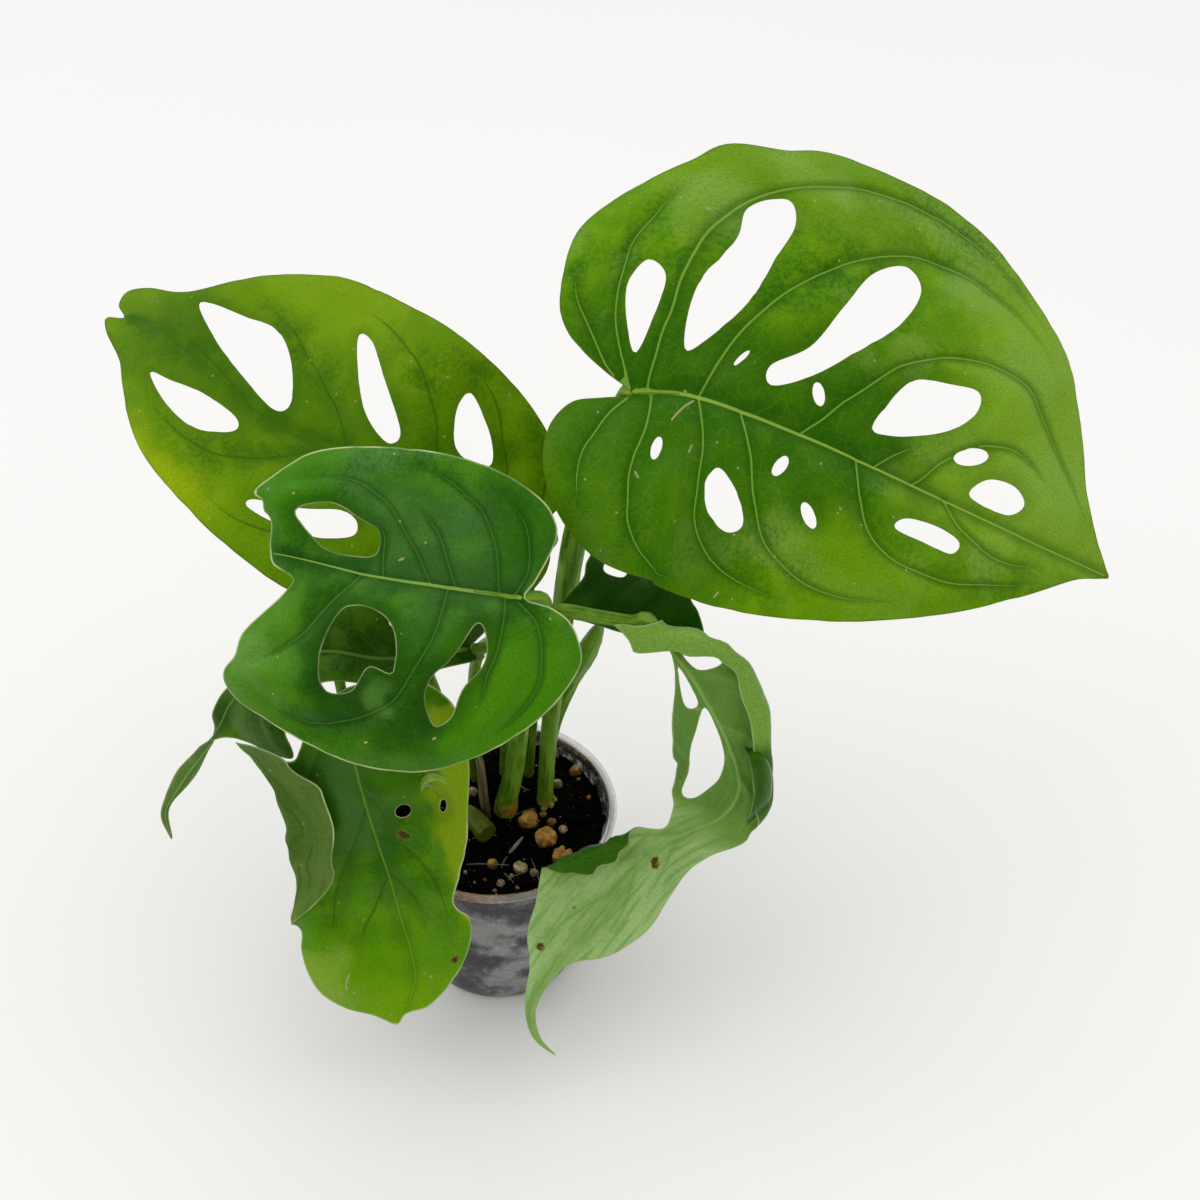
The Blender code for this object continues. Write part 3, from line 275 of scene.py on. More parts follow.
        "left": [(-8, 10, 0.3, 1.6, 172), (0, 10, 0.5, 1.6, 172), (5.5, 10, 4.8, 1.6, 172),
                 (10, 8, 7.2, 1.6, 172), (15, 6, 8.5, 1.6, 172), (20, 5, 8.5, 1.6, 172),
                 (32, 5, 5.5, 1.6, 170), (40, 5, 4.5, 1.6, 160), (48, 0, 4.5, 1.6, 100),
                 (53, 0, 8, 1.6, 0), (140, 0, 10, 1.6, 0)],
        "calm": 20,
        "margin": [
            (0, 0.4), (-0.3, -1.5), (-2.7, -7.3), (-4.6, -9.2), (-5.6, -10.8), (-4, -10.6), (-1.2, -10.7),
            (1.3, -11.8), (4.1, -12.8), (6.4, -13), (9, -13), (11.7, -13.2), (15.9, -15), (20.5, -16),
            (25, -14.4), (29, -12.5), (33, -12.5), (38, -11.7), (42, -10.6), (45, -8.6), (48, -6.8),
            (52, -7.5), (59, -7.1), (68, -9), (76, -10.2), (83, -9.2), (89, -6.9), (94.6, -2.4), (99, -1.2),
            (108, -0.9), (115, -0.7), (121.3, 0), (115, 0.8), (108, 1.6), (99, 4.4), (93, 8.8), (87, 11.4),
            (82, 14.5), (79, 16.8), (76, 17.8), (73, 16), (70, 13.4), (67, 10.5), (64.5, 6.6), (62, 3.6),
            (59.5, 2.8), (55, 6.2), (51.5, 10.3), (45, 13), (37, 12.5), (27, 10.2), (18.9, 7.5), (12, 3.6),
            (6.3, 0.8), (3, 0.8),
        ],
        "holes": [
            [(8.8, 1), (12.5, 1), (16.2, 1.2), (18.2, 1.8), (18.4, 3.2), (16.8, 3.9), (13.7, 3.2), (10.6, 2)],
            [(19.2, 0.9), (26, 0.9), (32.4, 1.7), (39, 3.8), (45, 5.6), (50.4, 6.5), (51, 8.3), (48, 10),
             (41, 10.6), (29.4, 7.3), (23.9, 4.5)],
            [(7, -1), (11.4, -1.8), (12.6, -6), (9.5, -6), (6.4, -2.6)],
        ],
        "ovals": [],
        "waves": [],
    },
}

# Points of each stem, as x, y, z and radius. A petiole's last stretch is worked out from its blade.
PETIOLES = {
    "right": [(10.3, 3.4, STEM_FOOT, 1.4), (10.3, 3.4, 43, 1.7), (10.9, 6.5, 60, 1.8), (12.4, 7.8, 80, 2.1),
              (15, 8.4, 109, 2.45), (18.6, 9.6, 130, 2)],
    "back_left": [(4.5, 18.5, STEM_FOOT, 1.4), (4.5, 18.5, 43, 1.6), (4, 20, 75, 1.5), (7, 20, 98, 1.4)],
    "front_left": [(1.4, 1, STEM_FOOT, 1.9), (1.4, 1, 43, 2.2), (3.2, 0.6, 53, 2.2), (5, -0.6, 68, 1.9),
                   (7, -8, 90, 1.6), (10, -15.5, 108, 1.5)],
    "hanging": [(-11, 6, STEM_FOOT, 1.3), (-11, 6, 43, 1.5), (-13, 5, 75, 1.3), (-18, -2, 95, 1.2),
                (-24.5, -9.5, 103.5, 1.2)],
    "under": [(-6, 10.5, STEM_FOOT, 1.2), (-6, 10.5, 43, 1.4), (-5, 6, 75, 1.2), (-2, -6, 97, 1.2),
              (1.6, -13, 106, 1.2)],
    "behind": [(6, 12.5, STEM_FOOT, 1.2), (6, 12.5, 43, 1.3), (8, 9, 75, 1.2), (10, -1, 96, 1.2)],
    "twisted": [(1, 12, STEM_FOOT, 1.2), (1, 12, 43, 1.4), (2, 8, 75, 1.3), (3.5, -4, 98, 1.3),
                (7.5, -12, 110, 1.3), (13.1, -14.5, 115.4, 1.35), (21.1, -15.6, 115.2, 1.3),
                (27, -14.6, 113.6, 1.2)],
}
# How far behind and below its blade's foot a petiole passes, and its end radius.
JOINTS = {
    "right": (1.2, 5, 1.3), "back_left": (4, 3.2, 1.1), "front_left": (4, 3.4, 1.1), "hanging": (4, 3.2, 0.9),
    "under": (4, 3, 0.9), "behind": (1.5, 4, 0.9), "twisted": (3, 2.4, 0.9),
}
OTHER_STEMS = {
    "rolled_young_leaf": [(10.2, 8.2, STEM_FOOT, 1), (10.2, 8.2, 43, 1.1), (11.5, 11.8, 58, 1.5),
                          (14.8, 13.4, 71, 2.1), (18, 11, 81, 2.3), (20.4, 9, 89, 1.6), (21.3, 8.2, 93, 0.5)],
    "withered_petiole": [(-2.2, -1.4, STEM_FOOT + 4, 0.7), (-2.2, -1.4, 43, 0.8), (-2.9, -0.4, 50, 0.95),
                         (-3.4, 0.8, 57, 0.8), (-4.8, 2.6, 62.5, 0.5)],
    "cut_petiole": [(-11.5, 0.6, 36, 2), (-8.8, -0.6, 42.6, 2.2), (-5.4, -4, 46, 2.3), (-1.6, -8.6, 46, 2.3)],
}

# Granules of baked clay and pumice: x, y and radius
GRAIN_UNEVENNESS = 0.16
GRAIN_RISE = 0.3
CLAY_GRANULES = [(7, -2, 2.2), (11, -6.9, 2.4), (15, -11.8, 2.2), (16.8, 13.9, 1.4), (12, -1.9, 1),
                 (0, -14.4, 1.1)]
PALE_GRANULES = [(11.2, 18.8, 1.5), (12.9, 9.4, 1.1), (14.7, -4, 1), (6.1, -15.3, 1.5), (8.9, -16.2, 0.9),
                 (-6.1, 5.7, 1.2), (2.1, -19.4, 0.9)]

# Lateral veins as (s, w) points from the midrib outwards.
VEINS = {
    "right": [
        [(0, -0.5), (-2, -7), (-3.5, -13.5), (-3, -21), (-1, -28), (3.5, -34.5), (6.5, -40.5), (9, -45)],
        [(3, 0), (6.5, -16.5), (10.5, -33), (18.5, -44), (34.5, -50), (52, -49), (68, -40), (80, -27)],
        [(12.5, 0), (16, -12.5), (21.5, -24), (30.5, -34), (43, -41), (57.5, -40.5), (69.5, -35), (79, -25)],
        [(32, 0), (38, -9.5), (45, -19.5), (56.5, -26), (69, -26), (78.5, -18.5), (88.5, -10), (98.5, -1.5)],
        [(0, 0), (-4.5, -4.5), (-8, -10.5), (-11, -16.5), (-11.5, -24)],
        [(0, 1), (-3, 4), (-5.5, 8), (-7.5, 12), (-8, 16), (-7.5, 20.5), (-6, 24.5)],
        [(4, 0), (3.5, 6.5), (1.5, 12.5), (1, 18.5), (1.5, 24.5), (5, 30), (12, 32.5), (26, 32.5)],
        [(12.5, 0), (15.5, 7.5), (17, 14.5), (19, 21.5), (24.5, 27), (31.5, 29), (39.5, 29), (47, 27.5)],
        [(20.5, 0), (25, 7.5), (28.5, 15), (33.5, 21), (41.5, 24.5), (49.5, 24.5), (57, 22), (65.5, 19)],
        [(43.5, 0), (47, 7), (51.5, 12.5), (58.5, 14.5), (67, 14), (75, 11.5), (83, 8), (91, 3)],
        [(62, 0), (68, 4), (77, 6), (88, 3)], [(55, 0), (62, -10), (72, -14), (84, -9)],
        [(47, 0), (50, -4), (53, -7)],
    ],
    "back_left": [
        [(40, 0), (43.5, 5), (48, 9), (53.5, 12.5), (60, 15.5), (67, 18.5), (76, 20), (84, 18)],
        [(22, 0), (23.5, 6.5), (26, 12.5), (30, 18), (35, 23), (43, 27.5), (53.5, 30.5), (66, 31)],
        [(8, 0), (9.5, 8.5), (12.5, 14.5), (16, 20.5), (21.5, 25), (28.5, 28)],
        [(63, 0), (70, 2.5), (80, 4), (92, 6)], [(2, 0), (1, 6), (3, 13), (8, 20)],
        [(46, 0), (52, -5.5), (57, -8.5), (61.5, -11), (67, -12), (72.5, -12), (79, -11), (87, -8)],
        [(28, 0), (31, -8), (37, -16), (47, -20.5), (58, -20), (68, -17)],
        [(12, 0), (13, -8), (17, -16), (24, -22), (34, -26)], [(3, 0), (1, -6), (3, -13), (8, -18)],
    ],
    "front_left": [
        [(4.5, 0), (5.5, 4.5), (7, 9), (9, 13.5), (12.5, 16), (16.5, 18.5), (21, 19.5), (27, 20)],
        [(16.5, 0), (19, 4.5), (22, 8.5), (26, 12.5), (31.5, 15), (37, 15.5), (42, 14), (47, 12)],
        [(2, 0), (0.5, 4), (0.5, 8.5), (2, 12.5), (5, 16), (8.5, 18)],
        [(12, 0), (14, 4), (16, 8.5), (19, 12), (22.5, 15.5)], [(25, 0), (25.5, 4), (26, 7.5), (29, 10)],
        [(3.5, 0), (3.5, -5), (4, -9.5), (5, -14), (5.5, -18), (8, -24)],
        [(1, -1), (-2.5, -4.5), (-4, -10), (-4, -15), (-1.5, -20), (2, -24), (6.5, -27)],
        [(13.5, 0), (14.5, -8), (17, -14.5), (20, -21), (26.5, -25.5), (33, -27.5), (40.5, -25.5), (47, -21)],
        [(29, 0), (31.5, -4.5), (34, -9), (36.5, -13.5), (41, -17.5), (46.5, -19.5)],
    ],
    "hanging": [
        [(28, 0), (33, 2.5), (38.5, 6), (43.5, 9.5), (49.5, 12), (56, 13.5), (62.5, 13)],
        [(45, 0), (51.5, 4.5), (56.5, 7.5), (62, 9)], [(8, 0), (14, 6), (22, 11), (30, 17), (36, 24)],
        [(34, 0), (38.5, -5), (44.5, -8), (50.5, -9.5), (56, -10), (61, -10.5)],
        [(43, 0), (46.5, -2.5), (51, -4.5), (56.5, -5.5)], [(24, 0), (28, -2.5), (37.5, -4.5)],
        [(10, 0), (15, -7), (24, -13), (36, -16.5)], [(2, 0), (4, -8), (8, -16)],
    ],
    "under": [
        [(2, 0), (6, 5), (12, 9), (20, 9.5)], [(16, 0), (22, 4), (30, 6)], [(34, 0), (40, 2.4)],
        [(12, 0), (17, -2.4), (24, -3.4)], [(30, 0), (38, -4), (46, -8), (52, -12)],
        [(42, 0), (49, -5), (54, -10), (56, -13)],
    ],
    "behind": [
        [(2, 0), (6, -6), (6.5, -13), (7, -20)], [(7, 0), (13, -8), (16, -15), (17, -21)],
        [(14, 0), (19, -6), (22, -12)], [(10, 0), (15, 1.6), (22, 1.8)],
    ],
    "twisted": [
        [(30, 0), (38, 3.4), (48, 5.8), (54, 4)], [(4, 0), (8, 0.8), (16, 3.2)],
        [(10, 0), (16, -6), (22, -12)], [(24, 0), (30, -5), (38, -9)], [(38, 0), (45, -3.4), (54, -5.6)],
        [(56, 0), (62, 2), (70, 8), (76, 14)], [(66, 0), (72, 4), (80, 9), (88, 9)],
        [(76, 0), (84, 3.6), (92, 5), (98, 2.4)], [(58, 0), (66, -4), (76, -6.4)],
        [(70, 0), (78, -3.6), (88, -4.4)], [(84, 0), (91, -2)],
    ],
}

# Where the midrib leaves the middle of the drawing: s and w.
DRIFTS = {
    "back_left": [(0, 0), (58, 0), (76, 2.4), (93, 2.4), (109, 0)],
    "hanging": [(0, 0), (55, -0.6), (67.5, -2.5), (77.5, -1)],
}

# Healed scratches and pale specks as lines in (s, w), and brown spots as (s, w, radius)
SCARS = {
    "right": [
        [(11.7, 0.9), (10.2, 2.6), (8.3, 5.4)], [(13.1, 10.5), (13.4, 9.1)], [(9.8, -0.7), (10.1, -0.5)],
        [(21.8, 2.2), (22, 2.4)], [(43.4, 9.8), (43.6, 10)], [(37.2, 3.6), (37.3, 3.8)],
        [(2, 15), (2.6, 16)], [(28, 33), (28.4, 32)],
    ],
    "front_left": [[(21.7, 3.9), (22.3, 3.6)], [(23, -28.3), (23.3, -28.5)], [(12, -26), (12.3, -26.2)]],
    "hanging": [
        [(66.2, 10.9), (67.4, 11.2)], [(68.9, 11.4), (69.6, 11)], [(70.4, 9.5), (70.9, 9.7)],
        [(71, 11.9), (71.6, 12.3)], [(66.5, -5.8), (66.8, -5.6)], [(26.3, -11.5), (25.8, -13.2), (27, -14.6)],
    ],
    "twisted": [[(83.5, 6), (84.2, 6.2)], [(84.2, 2.7), (85.2, 2.8)], [(67.1, 0.9), (67.8, 1)]],
}
BURNS = {
    "right": [(76.1, 0.6, 0.25)],
    "hanging": [
        (32.6, -7.3, 0.5), (35.8, -5.6, 1.0), (36.6, -6.4, 0.7), (63.3, -10.5, 0.75), (69.6, 13, 0.2),
    ],
    "twisted": [(66, -1.9, 0.9), (66.9, -2.8, 0.5), (94.2, 4.8, 0.8), (84, 4.4, 0.15)],
}

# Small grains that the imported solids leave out: x, y and radius
CLAY_GRIT = [(10.1, 0.1, 0.8), (11.4, 15.2, 0.8), (17.6, 11.3, 0.5), (20, 5.3, 0.6), (-1.3, -18.6, 0.4)]
PALE_GRIT = [(4.3, -17.6, 0.5), (5.7, -20.4, 0.5), (1, -21.1, 0.45), (-5.6, -16.7, 0.5), (-3.4, -19.3, 0.35)]

GRAIN_CLEFTS = {("clay_granule", 3): 0.42, ("pale_granule", 4): 0.15}

# Loose crumbs (count, smallest and largest radius, detail) and fibres, and how far from the middle they lie
CRUMBS = ((110, 0.7, 1.5, 2), (620, 0.25, 0.75, 1))
CRUMB_REACH = 23.2
FIBRES = 16
FIBRE_REACH = 22

# A pale stick and a straight thread on the soil: x, y, z and radius
SOIL_STICKS = [
    [(3.4, -11.7, 43.6, 0.3), (4.4, -10.2, 43.8, 0.42), (5.2, -8.8, 43.9, 0.36), (6, -7.3, 43.7, 0.25)],
    [(-5.4, -15.4, 43.9, 0.09), (-2.4, -15.2, 44, 0.11), (0.6, -15.1, 43.9, 0.1), (3.5, -15, 43.7, 0.07)],
]

# The lobe rolled forward from the twisted blade's margin: its outer line, crown and free edge
LOBE = (
    [(49.4, -20.9, 88.3), (51.6, -22.9, 89.7), (53.3, -23.7, 88.4), (54.6, -24, 85.3), (55.1, -24.6, 81.7),
     (54.8, -25.4, 78.6), (53.4, -25.6, 75), (51.5, -24, 69.9)],
    [(49.3, -21.1, 88.5), (50.6, -23.8, 89.7), (51.7, -25.1, 88.7), (52.7, -25.7, 86.2), (53.1, -26.3, 83.2),
     (53, -26.8, 80), (52.3, -26.3, 76), (51.4, -24.1, 70)],
    [(49.3, -21.3, 88.7), (49.9, -23.7, 88.9), (50.6, -25, 87), (51.2, -25.7, 83.8), (51.7, -26.2, 80.8),
     (51.5, -26.7, 78.2), (51.4, -26.3, 75.2), (51.4, -24.5, 70.5)],
)

# Old sheaths round petioles (x, y, radius, lowest and highest z, slant) and swollen nubs (x, y, z, radius)
SHEATHS = [(2, 1, 2.2, 42, 46, 1.2), (10.3, 3.5, 1.65, 42, 44.2, 0.5)]
NUBS = [(11.7, 2.3, 43.9, 0.85), (12.5, 3.2, 44.5, 0.6), (10.2, 1.5, 43.4, 0.8), (11.9, 4.6, 43.6, 0.7)]

# A torn strip curled up on the hanging blade: s, w, height over the blade and radius
CURL = [(27, -11.4, 0.1, 0.25), (25, -12.3, 0.4, 0.7), (23.4, -13.9, 0.7, 0.95), (22.8, -15.6, 0.8, 1.0),
        (23.6, -17, 0.6, 0.8), (25.6, -17.3, 0.3, 0.45), (27.5, -16.6, 0, 0.2)]

LEAF_SLOTS = {
    "right": "leaf_bright_green", "back_left": "leaf_yellow_green", "front_left": "leaf_deep_green",
    "hanging": "leaf_mid_green", "under": "leaf_olive", "behind": "leaf_dark_green",
    "twisted": "leaf_pale_underside",
}

# How each blade looks. "below" changes what its underside has otherwise.
PLAIN_BELOW = {
    "deep": (0.11, 0.24, 0.04), "bright": (0.19, 0.36, 0.08), "warm": (0.23, 0.38, 0.07),
    "shade": (0.07, 0.18, 0.03), "vein": (0.24, 0.42, 0.1), "rib": (0.34, 0.52, 0.15), "gloss": 0.55,
    "netting": 0.25, "shading": 0.3, "net": (0.24, 0.4, 0.1), "painted_sheen_share": 0.0,
}
# Among these, the paler sheen colour and its share lay patches of painted sheen, and the darkening near the
# midrib and round the holes is painted shade.
COMMON = {
    "quilt": 0.55, "groove": 0.3, "valley": 0.5, "reach": 1.1, "shading": 0.45, "netting": 0.22,
    "veining": 0.75, "margin": (0.2, 0.3, 0.06), "margin_width": 0.36, "margining": 0.7, "gloss": 0.42,
    "specular": 0.35, "through": 0.25, "speck": (0.4, 0.4, 0.22), "below": PLAIN_BELOW,
    "rib_shade_reach": 14.0, "rib_shade_depth": 0.16, "warming": 0.5, "painted_sheen": (0.2, 0.34, 0.08), "painted_sheen_share": 0.4,
    "ribbing": 0.8, "sheen": (0.45, 1.0, 0.15), "ridge": 0.75,
    "streaks": 0.0, "painted_hole_shade": 0.2, "crumple": 1.0,
}
LOOKS = {
    "right": {
        **COMMON, "deep": (0.022, 0.125, 0.001), "bright": (0.12, 0.3, 0.001), "warm": (0.22, 0.42, 0.003),
        "netting": 0.16, "painted_sheen_share": 0.6, "quilt": 0.8, "reach": 1.7, "shading": 0.6,
        "shade": (0.016, 0.085, 0.001), "net": (0.19, 0.37, 0.008), "vein": (0.25, 0.46, 0.05),
        "rib": (0.36, 0.55, 0.08), "glow": (0.3, 0.55, 0.004), "margin": (0.1, 0.15, 0.005),
        "painted_sheen": (0.24, 0.4, 0.07),
        # Of these patches, the five pale bluish ones, with a blue of 0.08 or 0.09, are painted highlights on
        # the quilts between the veins.
        "areas": [
            ((0.018, 0.115, 0.001), 0.8, 8, -14, 52, -18, 14),
            ((0.03, 0.145, 0.001), 0.65, 7, -16, 30, 8, 44),
            ((0.19, 0.38, 0.003), 0.6, 6, 42, 92, 12, 40), ((0.27, 0.47, 0.03), 0.75, 8, 56, 108, -46, 5),
            ((0.2, 0.36, 0.012), 0.5, 5, 0, 40, -60, -36), ((0.28, 0.47, 0.09), 0.5, 3, 47, 60, -43, -35),
            ((0.28, 0.47, 0.09), 0.55, 3, 63, 76, -33, -24), ((0.26, 0.45, 0.08), 0.5, 2, 6, 13, -42, -33),
            ((0.26, 0.45, 0.08), 0.5, 2, 15, 27, -49, -43), ((0.28, 0.48, 0.08), 0.6, 4, 72, 91, -17, -6),
        ],
    },
    "back_left": {
        **COMMON, "deep": (0.05, 0.16, 0.001), "bright": (0.15, 0.3, 0.001), "warm": (0.22, 0.37, 0.002),
        "shade": (0.025, 0.09, 0.001), "vein": (0.03, 0.11, 0.001), "rib": (0.04, 0.14, 0.001),
        "glow": (0.45, 0.6, 0.004), "margin": (0.04, 0.09, 0.002), "through": 0.32,
        "quilt": 0.4, "groove": 0.15, "painted_sheen_share": 0.0, "specular": 0.2, "reach": 0.6, "shading": 0.3,
        "net": (0.09, 0.23, 0.001), "ridge": 0.5, "netting": 0.16,
        # The bright yellow patch first in this list is partly the blade's own yellow-green and partly painted
        # glow of the light that comes through the blade from behind.
        "areas": [
            ((0.38, 0.51, 0.002), 0.9, 4, 54, 104, -34, -17), ((0.16, 0.33, 0.001), 0.6, 6, 10, 60, -34, -12),
            ((0.25, 0.42, 0.002), 0.7, 5, 44, 86, 22, 40), ((0.04, 0.15, 0.001), 0.6, 7, 10, 100, -6, 14),
        ],
    },
    "front_left": {
        **COMMON, "deep": (0.012, 0.085, 0.001), "bright": (0.042, 0.18, 0.002), "warm": (0.1, 0.29, 0.006),
        "shade": (0.006, 0.05, 0.001), "net": (0.075, 0.23, 0.02), "vein": (0.11, 0.3, 0.035),
        "rib": (0.3, 0.52, 0.1), "glow": (0.14, 0.4, 0.004), "margin": (0.6, 0.66, 0.34),
        "margin_width": 0.4, "margining": 0.9, "gloss": 0.3, "quilt": 1.4, "crumple": 1.8, "through": 0.18,
        "painted_sheen": (0.09, 0.22, 0.07), "specular": 0.22, "sheen": (0.5, 1.0, 0.3),
        "veining": 0.36, "reach": 1.3, "shading": 0.6, "netting": 0.12, "painted_hole_shade": 0.5,
        # Of these patches, the pale bluish one over the upper half and the two small pale ones last in the
        # list are painted sheen and highlights; the two darkest, below and beside the hole under the midrib's
        # middle, are painted shade in its creases.
        "areas": [
            ((0.06, 0.18, 0.035), 0.6, 4, 2, 32, -3, 17), ((0.02, 0.11, 0.004), 0.6, 4, 8, 34, -16, -5),
            ((0.022, 0.13, 0.001), 0.7, 4, -6, 7, 4, 22),
            ((0.075, 0.27, 0.001), 0.8, 4, -12, 10, -36, -6),
            ((0.009, 0.062, 0.001), 0.8, 3, 12, 33, -28, -16),
            ((0.1, 0.28, 0.012), 0.7, 3, 36, 54, -30, -8), ((0.06, 0.25, 0.003), 0.7, 3, 38, 54, 6, 24),
            ((0.013, 0.085, 0.002), 0.7, 2, 31, 36, -16, -4), ((0.05, 0.19, 0.003), 0.5, 3, 8, 40, -36, -28),
            ((0.15, 0.34, 0.06), 0.7, 1.6, 42, 49, -22, -15),
            ((0.12, 0.29, 0.05), 0.6, 1.2, 19, 24, -24, -19),
        ],
    },
    "hanging": {
        **COMMON, "deep": (0.02, 0.12, 0.001), "bright": (0.085, 0.28, 0.001), "warm": (0.16, 0.38, 0.002),
        "netting": 0.12,
        "shade": (0.014, 0.075, 0.001), "net": (0.12, 0.3, 0.006), "vein": (0.03, 0.12, 0.002),
        "rib": (0.2, 0.44, 0.03), "glow": (0.3, 0.55, 0.004), "margin": (0.6, 0.66, 0.34),
        "margin_width": 0.4, "margining": 0.9, "quilt": 1.1, "crumple": 1.6, "gloss": 0.34,
        "painted_sheen": (0.09, 0.2, 0.05),
        "ribbing": 0.55, "ridge": 0.6, "reach": 0.7, "shading": 0.3,
        # The darkest patch, first in the list, is a painted shadow cast by the front-left blade; the bluish
        # one beside it is painted sheen; the yellow strip along the edge below w -12.6, from s 6 to 57, is
        # partly the blade's own yellowing and partly painted glow of the light coming through that upturned
        # edge.
        "areas": [
            ((0.018, 0.1, 0.002), 0.75, 12, -4, 42, -11, 16), ((0.07, 0.19, 0.045), 0.6, 4, 12, 38, -2, 6),
            ((0.16, 0.4, 0.001), 0.6, 15, 52, 90, -24, 28),
            ((0.45, 0.5, 0.03), 0.9, 1.2, 5.5, 11.5, -20, -15),
            ((0.28, 0.42, 0.001), 0.92, 1.6, 6, 57, -26, -12.6),
            ((0.24, 0.46, 0.002), 0.6, 5, 68, 86, -20, 24),
            ((0.32, 0.48, 0.05), 0.6, 2.5, 60, 77, 11, 24),
        ],
        "below": {
            **PLAIN_BELOW, "deep": (0.08, 0.16, 0.02), "bright": (0.13, 0.22, 0.04),
            "warm": (0.16, 0.25, 0.05),
            "shade": (0.04, 0.1, 0.01), "vein": (0.04, 0.1, 0.012), "rib": (0.2, 0.32, 0.08),
            "net": (0.06, 0.12, 0.015), "streaks": 0.5,
        },
    },
    "under": {
        **COMMON, "deep": (0.018, 0.075, 0.001), "bright": (0.06, 0.16, 0.004), "warm": (0.09, 0.19, 0.004),
        "shade": (0.01, 0.045, 0.001), "net": (0.08, 0.18, 0.015), "vein": (0.06, 0.14, 0.01),
        "rib": (0.14, 0.27, 0.04), "glow": (0.2, 0.4, 0.01), "margin": (0.4, 0.46, 0.18),
        "margin_width": 0.34,
        "painted_sheen": (0.1, 0.17, 0.06),
    },
    "behind": {
        **COMMON, "deep": (0.008, 0.055, 0.001), "bright": (0.018, 0.09, 0.002), "warm": (0.03, 0.12, 0.003),
        "shade": (0.005, 0.03, 0.001), "net": (0.03, 0.11, 0.01), "vein": (0.02, 0.08, 0.005),
        "rib": (0.08, 0.2, 0.04), "glow": (0.12, 0.34, 0.01), "margin": (0.3, 0.42, 0.15),
        "margin_width": 0.34, "painted_sheen_share": 0.2, "painted_sheen": (0.05, 0.12, 0.04),
    },
    "twisted": {
        **COMMON, "turned": True, "deep": (0.03, 0.13, 0.003), "bright": (0.07, 0.22, 0.008),
        "warm": (0.1, 0.27, 0.01), "shade": (0.014, 0.07, 0.002), "net": (0.09, 0.23, 0.02),
        "vein": (0.06, 0.17, 0.01), "rib": (0.2, 0.4, 0.06), "glow": (0.3, 0.6, 0.03),
        "margin": (0.42, 0.52, 0.22), "painted_sheen": (0.12, 0.26, 0.08),
        "ridge": 0.45, "gloss": 0.3, "specular": 0.5,
        # The second patch darkens the flap beyond s 29 as painted shade, where it lies in shadow.
        "areas": [
            ((0.27, 0.47, 0.08), 0.85, 2, -12, 28.5, -20, 10),
            ((0.012, 0.07, 0.001), 0.8, 2, 29, 92, -24, 22),
        ],
        "below": {
            **PLAIN_BELOW, "deep": (0.3, 0.48, 0.15), "bright": (0.43, 0.62, 0.25),
            "warm": (0.46, 0.64, 0.22),
            "shade": (0.17, 0.34, 0.06), "rib": (0.3, 0.48, 0.12), "vein": (0.2, 0.38, 0.09),
            "net": (0.5, 0.68, 0.34), "netting": 0.08, "gloss": 0.42, "streaks": 0.55,
            # These green patches over the rolled upper part are painted shade of the underside inside the
            # roll, with the green of light coming through the sheet.
            "areas": [
                ((0.13, 0.29, 0.025), 0.85, 4, -12, 54, -24, 24),
                ((0.07, 0.17, 0.02), 0.6, 3, 12, 50, -2, 20),
            ],
        },
    },
}

# The colours of scars and of the rim and heart of burns, and how far noise pushes the areas about
SCAR_COLOUR = (0.5, 0.42, 0.24)
BURN_COLOURS = ((0.24, 0.13, 0.035), (0.05, 0.016, 0.005))
AREA_WARP = 7

# Stems and grains: the material's name, and what stem_finish() and grain_finish() take after it
STEM_LOOKS = {
    "petiole": ("petiole_skin", (0.035, 0.13, 0.001), (0.21, 0.38, 0.03), (0.16, 0.23, 0.012)),
    "rolled_young_leaf": ("young_leaf_skin", (0.07, 0.2, 0.005), (0.2, 0.38, 0.03), (0.12, 0.18, 0.01)),
    "withered_petiole": ("withered_skin", (0.07, 0.05, 0.025), (0.3, 0.24, 0.13), (0.08, 0.05, 0.03), 0.7),
    "cut_petiole": ("stub_skin", (0.03, 0.065, 0.003), (0.14, 0.19, 0.012), (0.1, 0.09, 0.01)),
    "torn_curl": ("curl_skin", (0.1, 0.25, 0.006), (0.33, 0.47, 0.08), (0.1, 0.25, 0.01)),
    "fibre": ("fibre_skin", (0.1, 0.08, 0.05), (0.4, 0.37, 0.3), (0.2, 0.18, 0.14), 0.8),
}
GRAIN_LOOKS = {
    "clay_granule": ("baked_clay_grain", (0.08, 0.025, 0.002), (0.38, 0.17, 0.015), (0.64, 0.39, 0.08)),
    "pale_granule": ("pumice_grain", (0.1, 0.06, 0.025), (0.4, 0.28, 0.14), (0.66, 0.53, 0.35)),
}
SOIL_COLOURS = ((0.0006, 0.0005, 0.0004), (0.008, 0.005, 0.003))

# Lights: name, place, width and height in metres, power in watts
WORLD_STRENGTH = 0.7
WORLD_COLOUR = (1, 0.985, 0.96, 1)
LIGHTS = [
    ("window", (-1.3, -0.1, 1.6), (2.2, 2.2), 17.5),
    ("ceiling", (0.6, 0.45, 1.7), (2.2, 1.8), 12),
]
LIT_PLACE = (0, 0, 0.09)

# The camera: degrees down and degrees tilted, focal length, and place in metres
CAMERA_PITCH = 40.4
CAMERA_TILT = 2
CAMERA_LENS = 43.6
CAMERA_PLACE = (0.021, -0.2139, 0.288)


